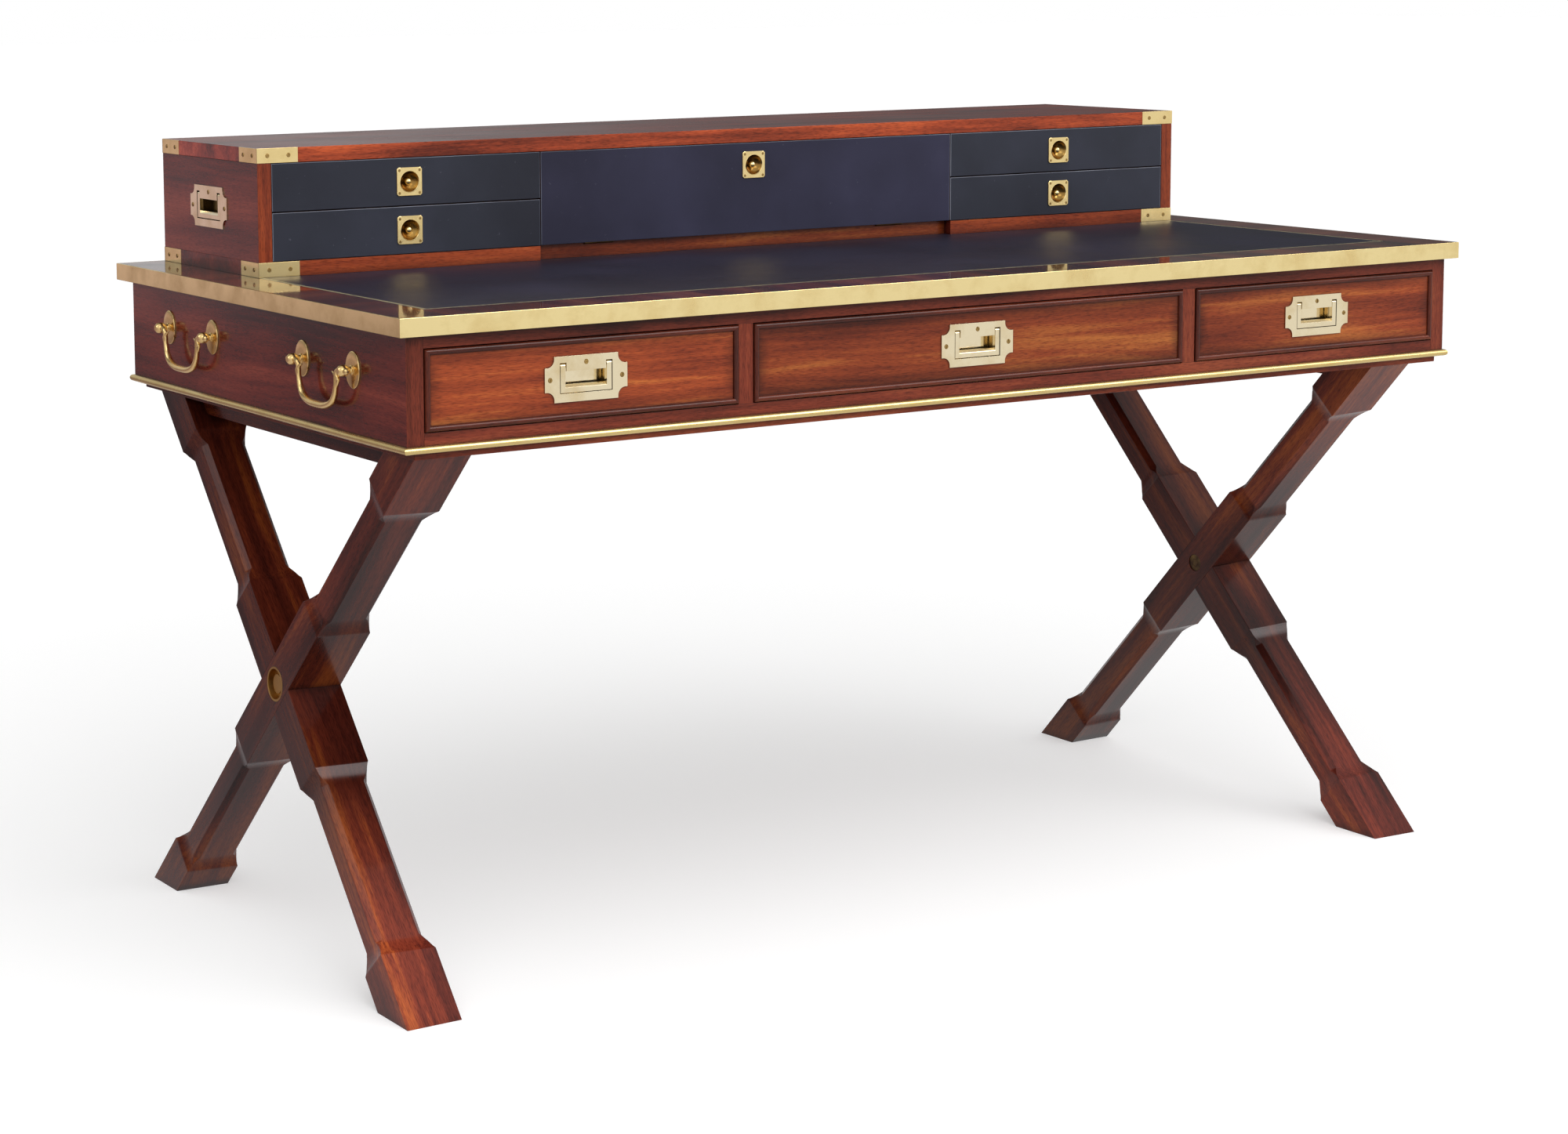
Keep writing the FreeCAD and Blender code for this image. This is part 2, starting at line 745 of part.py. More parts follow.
def flush_bail(name, at, rotation):
    """U-shaped bail with a bevelled bar, turning on two stub pins at the heads of its arms."""
    body = doc.addObject("PartDesign::Body", f"{name}_bail")
    outer_x = slot_x - d.bail_gap
    inner_x = outer_x - d.bail_arm
    low = slot_low + d.bail_gap
    bar_top = low + d.bail_bar
    outline = [
        (-outer_x, low),
        (outer_x, low),
        (outer_x, pivot_z),
        (inner_x, pivot_z),
        (inner_x, bar_top),
        (-inner_x, bar_top),
        (-inner_x, pivot_z),
        (-outer_x, pivot_z),
    ]
    profile = sketch(body, f"{name}_bail_outline", "XZ_Plane", [outline])
    pad(body, profile, d.bail_thick, reverse=True)
    put(body, (0, bail_front, 0))
    pieces = [body]
    for side, start in ((-1, -outer_x), (1, inner_x)):
        head_at = (start, pivot_y, pivot_z)
        pieces.append(cylinder(f"{name}_arm_head", d.bail_thick, d.bail_arm, head_at, "x"))
        pin_length = d.bail_gap + d.pin_reach
        pin_start = outer_x if side > 0 else -outer_x - pin_length
        pieces.append(cylinder(f"{name}_pin", d.pin_diameter, pin_length, (pin_start, pivot_y, pivot_z), "x"))
    whole = fuse(f"{name}_bail_blank", *pieces)
    bevel_side = d.bail_bevel * ROOT_TWO
    bevel = box(f"{name}_bevel", (-inner_x, inner_x), (0, bevel_side), (0, bevel_side))
    put(bevel, (-inner_x, bail_front, bar_top - d.bail_bevel), Rotation(Vector(1, 0, 0), 45))
    return put(cut(f"{name}_bail_bevelled", whole, bevel), at, rotation)


def flush_seat(name, at, rotation):
    """The mortise for the box of a flush handle, with a little room all round."""
    room = d.box_wall + d.box_fit
    seat = box(
        f"{name}_seat",
        (-slot_x - room, slot_x + room),
        (0, d.box_depth + room),
        (slot_low - room, slot_high + room),
    )
    holder = group(f"{name}_seat_group", [seat])
    return put(holder, at, rotation)


def build_frieze_drawers():
    bays = (
        ("left", -inner_end_x, -side_x),
        ("centre", -centre_x, centre_x),
        ("right", side_x, inner_end_x),
    )
    for place, low, high in bays:
        name = f"frieze_{place}"
        x = (low + d.drawer_gap, high - d.drawer_gap)
        z = (opening_floor + d.drawer_gap, opening_head - d.drawer_gap)
        face = front_y + d.drawer_front_thick
        blank = box(f"{name}_front_blank", x, (front_y, face), z)
        bead_y = (-(front_y + d.cockbead_depth), d.cockbead_proud - front_y)
        strips = mitred_frame(f"{name}_cockbead", x, z, d.cockbead_width, bead_y, upright=True)
        nose_y = (front_y - d.cockbead_proud).value
        shortest = d.cockbead_width.value * 2

        def on_nose(edge):
            return edge.Length > shortest and all(abs(v.Y - nose_y) < 1e-6 for v in edge.Vertexes)

        beads = [rounded(f"{name}_cockbead_round", strip, d.cockbead_nose, on_nose) for strip in strips]
        handle_at = ((x[0] + x[1]) / 2, front_y, (z[0] + z[1]) / 2)
        seat = flush_seat(name, handle_at, FACING_FRONT)
        front = cut(f"{name}_front_rebated", blank, group(f"{name}_rebates", strips))
        front = cut(f"{name}_front", front, seat)
        node(f"{name}_drawer_front", group(f"{name}_front_group", [front] + beads))
        side_z = (opening_floor + d.drawer_lift, opening_head - d.drawer_side_gap)
        rear = back_face - d.drawer_rear_gap
        boards = drawer_box(name, x, (face, rear), side_z, d.drawer_side_thick, d.drawer_bottom_thick, d.drawer_bottom_lift)
        node(f"{name}_drawer_box", group(f"{name}_box_group", boards))
        node(f"{name}_handle_plate", flush_plate(name, handle_at, FACING_FRONT))
        node(f"{name}_handle_bail", flush_bail(name, handle_at, FACING_FRONT))


def drawer_box(name, x, y, z, side, bottom, lift):
    """Two sides, a back between them and a bottom let in above their lower edges."""
    inside = (x[0] + side, x[1] - side)
    rear_face = y[1] - side
    floor = (z[0] + lift, z[0] + lift + bottom)
    return [
        box(f"{name}_side_left", (x[0], inside[0]), y, z),
        box(f"{name}_side_right", (inside[1], x[1]), y, z),
        box(f"{name}_back", inside, (rear_face, y[1]), z),
        box(f"{name}_bottom", inside, (y[0], rear_face), floor),
    ]


# Faces and levels of the gallery
gallery_x = d.top_width / 2 - d.gallery_margin
gallery_inner_x = gallery_x - d.board_thick
gallery_back = d.top_depth / 2 - d.gallery_inset
gallery_front = gallery_back - d.gallery_depth
gallery_head = d.desk_height + d.gallery_height
bay_floor = d.desk_height + d.board_thick
bay_head = gallery_head - d.board_thick
bay_middle = (bay_floor + bay_head) / 2
bay_back = gallery_back - d.gallery_back_thick
facing_back = gallery_front + d.facing_thick
front_back = facing_back + d.front_wood
divider_x = d.centre_bay / 2
half_gap = d.front_gap / 2


def corner_straps(name, z):
    """Four L-shaped straps round the corners of a board, let in flush with its edges."""
    straps = []
    inner = gallery_x - d.strap_thick
    for sx in (-1, 1):
        tip = gallery_x - d.strap_front
        front_x = (-gallery_x, -tip) if sx < 0 else (tip, gallery_x)
        side_x_span = (-gallery_x, -inner) if sx < 0 else (inner, gallery_x)
        for face, inside, far in (
            (gallery_front, gallery_front + d.strap_thick, gallery_front + d.strap_side),
            (gallery_back, gallery_back - d.strap_thick, gallery_back - d.strap_side),
        ):
            rising = face.value < inside.value
            front_y_span = (face, inside) if rising else (inside, face)
            side_y_span = (face, far) if rising else (far, face)
            front_leaf = box(f"{name}_front_leaf", front_x, front_y_span, z)
            side_leaf = box(f"{name}_side_leaf", side_x_span, side_y_span, z)
            straps.append(fuse(f"{name}_strap", front_leaf, side_leaf))
    return straps


def build_gallery():
    deep = (gallery_front, gallery_back)
    wide = (-gallery_x, gallery_x)
    head_z = (bay_head, gallery_head)
    foot_z = (d.desk_height, bay_floor)
    head_straps = corner_straps("head", head_z)
    foot_straps = corner_straps("foot", foot_z)
    top = cut("gallery_top_cut", box("gallery_top_blank", wide, deep, head_z), group("head_strap_tools", head_straps))
    node("gallery_top", top)
    clear_x = divider_x + half_gap
    step = box("fall_step", (-clear_x, clear_x), (gallery_front, front_back + d.front_seat), foot_z)
    bottom = cut("gallery_bottom_cut", box("gallery_bottom_blank", wide, deep, foot_z), group("foot_tools", foot_straps))
    bottom = cut("gallery_bottom_stepped", bottom, fuse("bottom_recesses", step, *hinge_recesses("bottom")))
    node("gallery_bottom", bottom)
    node("corner_straps", group("corner_straps", head_straps + foot_straps))
    upright = (bay_floor, bay_head)
    middle_y = (gallery_front + gallery_back) / 2
    middle_z = (d.desk_height + gallery_head) / 2
    ends = []
    plates = []
    for hand, x, face, rotation in (
        ("left", (-gallery_x, -gallery_inner_x), -gallery_x, FACING_LEFT),
        ("right", (gallery_inner_x, gallery_x), gallery_x, FACING_RIGHT),
    ):
        name = f"gallery_{hand}"
        at = (face, middle_y, middle_z)
        ends.append(cut(f"{name}_end", box(f"{name}_end_blank", x, deep, upright), flush_seat(name, at, rotation)))
        plates.append(flush_plate(name, at, rotation))
        node(f"{name}_handle_bail", flush_bail(name, at, rotation))
    node("gallery_ends", group("gallery_ends", ends))
    node("gallery_handle_plates", group("gallery_plates", plates))
    inner = (-gallery_inner_x, gallery_inner_x)
    node("gallery_back", box("gallery_back_board", inner, (bay_back, gallery_back), upright))
    seat = (front_back + d.front_seat, bay_back)
    near = divider_x - d.divider_thick / 2
    far = divider_x + d.divider_thick / 2
    shelf_z = span(bay_middle, d.shelf_thick)
    dividers = [
        box("divider_left", (-far, -near), seat, upright),
        box("divider_right", (near, far), seat, upright),
        box("shelf_left", (-gallery_inner_x, -far), seat, shelf_z),
        box("shelf_right", (far, gallery_inner_x), seat, shelf_z),
    ]
    node("gallery_dividers", group("gallery_dividers", dividers))


def square_pull(name, at):
    """Square plate with a dished recess and a small knob standing in it."""
    half = d.pull_size / 2
    plate = box(f"{name}_pull_plate", (-half, half), (-d.pull_thick, 0), (-half, half))
    ball = (d.dish_diameter * d.dish_diameter / 4 + d.dish_depth * d.dish_depth) / d.dish_depth
    floor = d.dish_depth - d.pull_thick
    back = cylinder(f"{name}_pull_back", pull_back_diameter(), floor + d.dish_wall, (0, 0, 0), "y")
    hollow = sphere(f"{name}_pull_hollow", ball, (0, floor - ball / 2, 0))
    dished = cut(f"{name}_pull_dished", fuse(f"{name}_pull_blank", plate, back), hollow)
    knob_y = d.knob_diameter / 2 + d.knob_sink - d.pull_thick
    head = sphere(f"{name}_knob_head", d.knob_diameter, (0, knob_y, 0))
    stem = cylinder(f"{name}_knob_stem", d.knob_stem, floor + d.dish_wall / 2 - knob_y, (0, knob_y, 0), "y")
    return put(fuse(f"{name}_pull", dished, head, stem), at)


def pull_back_diameter():
    return d.dish_diameter + d.dish_wall * 2


def pull_seat(name, at):
    """The bore through a facing and into its wood for the back of a square pull."""
    length = d.dish_depth - d.pull_thick + d.dish_wall + d.dish_fit
    return cylinder(f"{name}_pull_seat", pull_back_diameter() + d.dish_fit * 2, length, at, "y")


def build_small_drawers():
    half_shelf = d.shelf_thick / 2
    columns = (
        ("left", -gallery_inner_x, -divider_x, 0, d.divider_thick / 2),
        ("right", divider_x, gallery_inner_x, d.divider_thick / 2, 0),
    )
    rows = (
        ("lower", bay_floor, bay_middle, bay_floor, bay_middle - half_shelf),
        ("upper", bay_middle, bay_head, bay_middle + half_shelf, bay_head),
    )
    for column, low_x, high_x, low_wall, high_wall in columns:
        for row, low_z, high_z, track, ceiling in rows:
            name = f"small_{column}_{row}"
            x = (low_x + half_gap, high_x - half_gap)
            z = (low_z + half_gap, high_z - half_gap)
            at = ((x[0] + x[1]) / 2, gallery_front, (z[0] + z[1]) / 2)
            seat = pull_seat(name, at)
            facing = box(f"{name}_facing_blank", x, (gallery_front, facing_back), z)
            front = box(f"{name}_front_blank", x, (facing_back, front_back), z)
            side_x_span = (x[0] + low_wall, x[1] - high_wall)
            side_z = (track + d.small_lift, ceiling - d.small_side_gap)
            y = (front_back, bay_back - d.small_rear_gap)
            boards = drawer_box(
                name, side_x_span, y, side_z, d.small_side_thick, d.small_bottom_thick, d.small_bottom_lift
            )
            boards.append(cut(f"{name}_front", front, seat))
            node(f"{name}_drawer", group(f"{name}_drawer_group", boards))
            node(f"{name}_leather", cut(f"{name}_facing", facing, seat))
            node(f"{name}_pull", square_pull(name, at))


def hinge_places():
    return (-d.hinge_offset, d.hinge_offset)


def hinge_recesses(name):
    """Housings for the fixed leaves in the gallery bottom, or for the swinging leaves in the fall."""
    recesses = []
    for x in hinge_places():
        along = span(x, d.hinge_length)
        if name == "bottom":
            leaf_y = (front_back, front_back + d.leaf_width)
            leaf_z = (bay_floor - d.leaf_thick, bay_floor)
        else:
            leaf_y = (front_back - d.leaf_thick, front_back)
            leaf_z = (bay_floor, bay_floor + d.leaf_width)
        recesses.append(box(f"{name}_leaf_recess", along, leaf_y, leaf_z))
        room = d.knuckle_diameter + d.knuckle_gap * 2
        recesses.append(cylinder(f"{name}_knuckle_recess", room, d.hinge_length, (along[0], front_back, bay_floor), "x"))
    return recesses


def build_fall():
    x = (half_gap - divider_x, divider_x - half_gap)
    z = (bay_floor + d.fall_gap, bay_head - half_gap)
    at = (size(0), gallery_front, z[1] - d.fall_pull_drop)
    seat = pull_seat("fall", at)
    panel = cut("fall_bored", box("fall_blank", x, (facing_back, front_back), z), seat)
    node("fall_panel", cut("fall_recessed", panel, fuse("fall_recesses", *hinge_recesses("fall"))))
    facing = box("fall_facing_blank", x, (gallery_front, facing_back), z)
    node("fall_leather", cut("fall_facing", facing, seat))
    node("fall_pull", square_pull("fall", at))
    fixed = []
    swinging = []
    third = d.hinge_length / 3
    for place in hinge_places():
        low, high = span(place, d.hinge_length)
        axis = (front_back, bay_floor)
        middle = (low + third, high - third)
        clear = d.knuckle_diameter + d.knuckle_gap * 2
        fixed_leaf = box("fixed_leaf", (low, high), (axis[0], axis[0] + d.leaf_width), (axis[1] - d.leaf_thick, axis[1]))
        room_at = (middle[0] - d.knuckle_gap, *axis)
        middle_room = cylinder("middle_room", clear, third + d.knuckle_gap * 2, room_at, "x")
        pin = cylinder("hinge_pin", d.hinge_pin, d.hinge_length, (low, *axis), "x")
        outer = [
            cylinder("knuckle", d.knuckle_diameter, third - d.knuckle_gap, (low, *axis), "x"),
            cylinder("knuckle", d.knuckle_diameter, third - d.knuckle_gap, (middle[1] + d.knuckle_gap, *axis), "x"),
        ]
        fixed.append(fuse("fixed_hinge", cut("fixed_leaf_cut", fixed_leaf, middle_room), pin, *outer))
        leaf_z = (axis[1], axis[1] + d.leaf_width)
        swing_leaf = box("swing_leaf", (low, high), (axis[0] - d.leaf_thick, axis[0]), leaf_z)
        rooms = fuse(
            "outer_rooms",
            cylinder("outer_room", clear, third, (low, *axis), "x"),
            cylinder("outer_room", clear, third, (middle[1], *axis), "x"),
        )
        barrel = cylinder("barrel", d.knuckle_diameter, third, (middle[0], *axis), "x")
        leaf = fuse("swing_leaf_barrel", cut("swing_leaf_cut", swing_leaf, rooms), barrel)
        pin_hole = cylinder("pin_hole", d.hinge_pin + d.hinge_fit * 2, d.hinge_length, (low, *axis), "x")
        swinging.append(cut("swing_hinge", leaf, pin_hole))
    node("fall_hinge_fixed", group("fixed_hinges", fixed))
    node("fall_hinge_leaves", group("swing_hinges", swinging))


def rose_and_post(name, at, rotation):
    """An oval rose with a post that ends in a pierced ball for the tail of a swan-neck handle."""
    oval = doc.addObject("Part::Ellipse", f"{name}_oval")
    bind(oval, MajorRadius=d.rose_height / 2, MinorRadius=d.rose_width / 2)
    oval.Placement = Placement(Vector(), UPRIGHT * Rotation(Vector(0, 0, 1), 90))
    plate = doc.addObject("Part::Extrusion", f"{name}_rose")
    plate.Base = oval
    plate.DirMode = "Custom"
    plate.Dir = Vector(0, -1, 0)
    plate.Solid = True
    bind(plate, LengthFwd=d.rose_thick)
    post = cylinder(f"{name}_post", d.post_diameter, d.post_reach, (0, -d.post_reach, 0), "y")
    eye = sphere(f"{name}_eye", d.eye_diameter, (0, -d.post_reach, 0))
    hole_at = (-d.eye_diameter / 2, -d.post_reach, 0)
    hole = cylinder(f"{name}_eye_hole", d.rod_diameter + d.eye_fit * 2, d.eye_diameter, hole_at, "x")
    return put(cut(f"{name}_pierced", fuse(f"{name}_blank", plate, post, eye), hole), at, rotation)


def bail_tail(name, bend_x, tail_x, side):
    """The turned tail of a bail: a collar at the neck, a shank for the eye and a knob that keeps it there."""
    body = doc.addObject("PartDesign::Body", f"{name}_tail")
    collar = (bend_x - d.collar_length / 2, bend_x + d.collar_length / 2)
    knob = (tail_x - d.tail_knob_length / 2, tail_x + d.tail_knob_length / 2)
    collar_radius = d.neck_collar / 2
    shank_radius = d.rod_diameter / 2
    knob_radius = d.tail_knob / 2
    outline = [
        (collar[0], 0),
        (collar[0], collar_radius - d.tail_bevel / 2),
        (collar[0] + d.tail_bevel, collar_radius),
        (collar[1] - d.tail_bevel, collar_radius),
        (collar[1], shank_radius),
        (knob[0], shank_radius),
        (knob[0] + d.tail_bevel, knob_radius),
        (knob[1] - d.tail_bevel, knob_radius),
        (knob[1], knob_radius - d.tail_bevel),
        (knob[1], 0),
    ]
    profile = sketch(body, f"{name}_tail_outline", "XZ_Plane", [[(x * side, y) for x, y in outline]])
    turned = body.newObject("PartDesign::Revolution", f"{name}_tail_turned")
    turned.Profile = profile
    turned.ReferenceAxis = (profile, ["H_Axis"])
    turned.Angle = 360
    return body


def swan_neck_bail(name, at, rotation):
    """A hanging bail: turned tails through the eyes, necks that bend down, arms, and a bow swelling to a grip."""
    half_span = d.handle_span / 2
    tail_x = half_span + d.tail_reach
    bend_x = half_span - d.neck_reach
    arm_x = bend_x - d.neck_radius
    bow_x = arm_x - d.bow_radius
    bow_z = d.bow_radius - d.bow_drop
    neck_set = d.neck_radius.value * (1 - 1 / ROOT_TWO)
    bow_set = d.bow_radius.value / ROOT_TWO
    neck = (arm_x.value + neck_set, -neck_set)
    bow = (bow_x.value + bow_set, bow_z.value - bow_set)
    path = [
        (-bend_x, 0),
        (-arm_x, -d.neck_radius, d.neck_radius, (-neck[0], neck[1])),
        (-arm_x, bow_z),
        (-bow_x, -d.bow_drop, d.bow_radius, (-bow[0], bow[1])),
        (bow_x, -d.bow_drop),
        (arm_x, bow_z, d.bow_radius, bow),
        (arm_x, -d.neck_radius),
        (bend_x, 0, d.neck_radius, neck),
    ]
    rod = doc.addObject("PartDesign::Body", f"{name}_rod")
    spine = sketch(rod, f"{name}_path", "XZ_Plane", [path], closed=False)
    ring = rod.newObject("Sketcher::SketchObject", f"{name}_section")
    plane = next(feature for feature in rod.Origin.OriginFeatures if feature.Role == "YZ_Plane")
    ring.AttachmentSupport = (plane, [""])
    ring.MapMode = "FlatFace"
    ring.setExpression("AttachmentOffset.Base.z", (-bend_x).text)
    radius = d.rod_diameter / 2
    ring.addGeometry(Part.Circle(Vector(), Vector(0, 0, 1), radius.value), False)
    ring.addConstraint(Sketcher.Constraint("Coincident", 0, 3, -1, 1))
    index = ring.addConstraint(Sketcher.Constraint("Radius", 0, radius.value))
    ring.setExpression(f"Constraints[{index}]", radius.text)
    pipe = rod.newObject("PartDesign::AdditivePipe", f"{name}_pipe")
    pipe.Profile = ring
    pipe.Spine = spine
    grip = doc.addObject("PartDesign::Body", f"{name}_grip")
    half_grip = bow_x + d.grip_lap
    swell = d.grip_diameter / 2
    swell_radius = (half_grip * half_grip + swell * swell) / (swell * 2)
    outline = [(-half_grip, 0), (half_grip, 0, swell_radius, (0, swell.value))]
    profile = sketch(grip, f"{name}_grip_outline", "XZ_Plane", [outline])
    turned = grip.newObject("PartDesign::Revolution", f"{name}_grip_turned")
    turned.Profile = profile
    turned.ReferenceAxis = (profile, ["H_Axis"])
    turned.Angle = 360
    put(grip, (0, 0, -d.bow_drop))
    whole = fuse(f"{name}_gripped", rod, grip)
    for side in (-1, 1):
        whole = fuse(f"{name}_tailed", whole, bail_tail(name, bend_x, tail_x, side))
    return put(whole, at, rotation)


def build_end_handles():
    mounts = []
    height = top_under - d.handle_drop
    for hand, face, rotation in (("left", -end_x, FACING_LEFT), ("right", end_x, FACING_RIGHT)):
        for place, middle in (("front", -d.handle_offset), ("rear", d.handle_offset)):
            name = f"end_handle_{hand}_{place}"
            for offset in (-d.handle_span / 2, d.handle_span / 2):
                mounts.append(rose_and_post(name, (face, middle + offset, height), rotation))
            out = face - d.post_reach if hand == "left" else face + d.post_reach
            node(f"{name}_bail", swan_neck_bail(name, (out, middle, height), rotation))
    node("end_handle_mounts", group("handle_mounts", mounts))


build_top()
build_case()
build_base()
build_legs()
build_end_handles()
build_frieze_drawers()
build_gallery()
build_small_drawers()
build_fall()
doc.recompute()

for obj in doc.Objects:
    if "Invalid" in obj.State or "Error" in obj.State:
        raise RuntimeError(f"{obj.Name} failed: {obj.State}")
for obj in NODES:
    if obj.Shape.isNull() or not obj.Shape.isValid() or not obj.Shape.Solids:
        raise RuntimeError(f"{obj.Label} has no valid solid")

os.makedirs("parts", exist_ok=True)
for obj in NODES:
    obj.Shape.exportStep(os.path.join("parts", f"{obj.Label}.step"))
    print(f"{obj.Label}: {len(obj.Shape.Solids)} solids, {obj.Shape.Volume / 1000:.1f} cm3")
print(len(NODES), "nodes")
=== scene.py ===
import math
import random

import bmesh
import bpy
from mathutils import Matrix, Vector


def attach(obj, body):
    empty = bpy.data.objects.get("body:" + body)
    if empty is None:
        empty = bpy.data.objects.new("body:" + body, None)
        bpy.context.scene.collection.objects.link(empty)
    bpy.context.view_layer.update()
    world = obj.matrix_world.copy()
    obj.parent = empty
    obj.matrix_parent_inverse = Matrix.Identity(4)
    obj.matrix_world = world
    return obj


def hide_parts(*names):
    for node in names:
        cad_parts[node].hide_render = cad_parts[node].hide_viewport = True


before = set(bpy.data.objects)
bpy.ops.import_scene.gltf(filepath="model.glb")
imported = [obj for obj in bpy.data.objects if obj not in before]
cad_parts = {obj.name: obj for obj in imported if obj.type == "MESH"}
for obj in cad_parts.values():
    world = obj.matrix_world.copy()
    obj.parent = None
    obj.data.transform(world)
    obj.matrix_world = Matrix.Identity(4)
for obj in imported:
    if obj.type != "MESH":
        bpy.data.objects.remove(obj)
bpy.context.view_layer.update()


# The top is a mahogany board with a crossband mitred round its edge: four strips of veneer whose grain
# runs out towards the edge, french polished to a deep gloss.
def linear(hex_colour):
    """An sRGB hex colour as the linear colour that a socket takes."""
    channels = [int(hex_colour[i : i + 2], 16) / 255 for i in (1, 3, 5)]
    return (*[c / 12.92 if c <= 0.04045 else ((c + 0.055) / 1.055) ** 2.4 for c in channels], 1.0)


def add(tree, kind, inputs=None, **settings):
    """Adds one node. An input takes a value, a socket, or a node, which stands for its first output."""
    node = tree.nodes.new(kind)
    for key, value in settings.items():
        setattr(node, key, value)
    for key, value in (inputs or {}).items():
        if isinstance(value, bpy.types.Node):
            value = value.outputs[0]
        if isinstance(value, bpy.types.NodeSocket):
            tree.links.new(value, node.inputs[key])
        else:
            node.inputs[key].default_value = value
    return node


def new_material(name):
    material = bpy.data.materials.new(name)
    material.use_nodes = True
    material.node_tree.nodes.clear()
    return material, material.node_tree


def set_stops(ramp, stops):
    while len(ramp.color_ramp.elements) < len(stops):
        ramp.color_ramp.elements.new(0.5)
    for element, (place, colour) in zip(ramp.color_ramp.elements, stops):
        element.position = place
        element.color = linear(colour)


def polished_mahogany(name, stops, gloss=0.3, polish=0.06):
    """Ribbon-figured mahogany under french polish: broad ribbons, fine streaks and short dark pores, painted
    shade in the corners with old polish and dust, and over them a coat that mirrors more the higher the polish."""
    material, tree = new_material(name)
    grain = add(tree, "ShaderNodeAttribute", attribute_name="grain").outputs["Vector"]
    tone = add(tree, "ShaderNodeAttribute", attribute_name="tone").outputs["Fac"]
    # The grain wanders some 10 mm across over half a metre of length
    loose = add(tree, "ShaderNodeVectorMath", {0: grain, 1: (2.2, 7.0, 7.0)}, operation="MULTIPLY")
    wander = add(tree, "ShaderNodeTexNoise", {"Vector": loose, "Scale": 1.0, "Detail": 2.0}).outputs["Color"]
    centred = add(tree, "ShaderNodeVectorMath", {0: wander, 1: (0.5, 0.5, 0.5)}, operation="SUBTRACT")
    shift = add(tree, "ShaderNodeVectorMath", {0: centred, 1: (0.0, 0.03, 0.03)}, operation="MULTIPLY")
    bent = add(tree, "ShaderNodeVectorMath", {0: grain, 1: shift}, operation="ADD")
    # Clouds a hand wide, ribbons 30 mm, streaks 5 mm, and pores 0.8 mm by 9 mm: real pores are finer than the
    # picture can show
    waves = {}
    for key, along, across, detail in (
        ("cloud", 3.0, 7.0, 2.0),
        ("ribbon", 1.2, 33.0, 2.0),
        ("streak", 9.0, 190.0, 2.0),
        ("pore", 110.0, 1250.0, 1.0),
    ):
        place = add(tree, "ShaderNodeVectorMath", {0: bent, 1: (along, across, across)}, operation="MULTIPLY")
        waves[key] = add(tree, "ShaderNodeTexNoise", {"Vector": place, "Scale": 1.0, "Detail": detail})
    mixed = add(tree, "ShaderNodeMath", {0: waves["pore"], 1: 0.08}, operation="MULTIPLY")
    for key, share in (("cloud", 0.38), ("ribbon", 0.36), ("streak", 0.18)):
        mixed = add(tree, "ShaderNodeMath", {0: waves[key], 1: share, 2: mixed}, operation="MULTIPLY_ADD")
    ramp = add(tree, "ShaderNodeValToRGB", {"Fac": mixed})
    set_stops(ramp, stops)
    pores = add(tree, "ShaderNodeMapRange", {"Value": waves["pore"], 1: 0.33, 2: 0.5, 3: 0.68, 4: 1.0})
    bright = add(tree, "ShaderNodeMath", {0: tone, 1: 0.3, 2: 0.85}, operation="MULTIPLY_ADD")
    value = add(tree, "ShaderNodeMath", {0: bright, 1: pores}, operation="MULTIPLY")
    toned = add(tree, "ShaderNodeHueSaturation", {"Color": ramp, "Value": value})
    # Painted shade, with old polish and dust, darkens the colour within a few millimetres of an inner corner
    shade_ao = add(tree, "ShaderNodeAmbientOcclusion", {"Distance": 0.013}, samples=6).outputs["AO"]
    corner = add(tree, "ShaderNodeMapRange", {"Value": shade_ao, 1: 0.3, 2: 0.92, 3: 0.85, 4: 0.0})
    with_painted_shade = add(tree, "ShaderNodeMix", {"Factor": corner, 6: toned, 7: linear("#1d0b08")}, data_type="RGBA")
    haze = add(tree, "ShaderNodeTexNoise", {"Vector": grain, "Scale": 9.0, "Detail": 2.0})
    rough = add(tree, "ShaderNodeMapRange", {"Value": haze, 1: 0.3, 2: 0.7, 3: gloss - 0.05, 4: gloss + 0.07})
    bump = add(tree, "ShaderNodeBump", {"Strength": 0.2, "Distance": 0.0002, "Height": pores})
    wood = {"Base Color": with_painted_shade.outputs[2], "Roughness": rough, "Normal": bump}
    coat = {"Specular IOR Level": 0.16 * (1 - polish), "Coat Weight": polish, "Coat Roughness": 0.05}
    shader = add(tree, "ShaderNodeBsdfPrincipled", wood | coat)
    add(tree, "ShaderNodeOutputMaterial", {"Surface": shader})
    return material


chance = random.Random(1871)


def new_boards():
    bm = bmesh.new()
    bm.verts.layers.float_vector.new("grain")
    bm.verts.layers.float.new("tone")
    return bm


def lay_grain(bm, verts, along, across, shade=None):
    """Gives each board its own cut of the log: metres along and across the grain, and a tone, light at 1."""
    grain = bm.verts.layers.float_vector["grain"]
    tone = bm.verts.layers.float["tone"]
    deep = along.cross(across)
    start = Vector((chance.uniform(0, 40), chance.uniform(0, 9), chance.uniform(0, 9)))
    drawn = chance.random()
    for vert in verts:
        vert[grain] = Vector((vert.co.dot(along), vert.co.dot(across), vert.co.dot(deep))) + start
        vert[tone] = drawn if shade is None else shade


AXES = {"x": Vector((1, 0, 0)), "y": Vector((0, 1, 0)), "z": Vector((0, 0, 1))}


def ease(bm, verts, width, least=30):
    """Takes the sharpness off the arrises of one board; width in millimetres."""
    edges = dict.fromkeys(edge for vert in verts for edge in vert.link_edges)
    sharp = [edge for edge in edges if edge.calc_face_angle(0) > math.radians(least)]
    before = set(bm.verts)
    made = bmesh.ops.bevel(
        bm, geom=sharp, offset=width / 1000, segments=2, profile=0.6, affect="EDGES", clamp_overlap=True
    )
    return [vert for vert in verts if vert.is_valid] + [v for v in made["verts"] if v not in before]


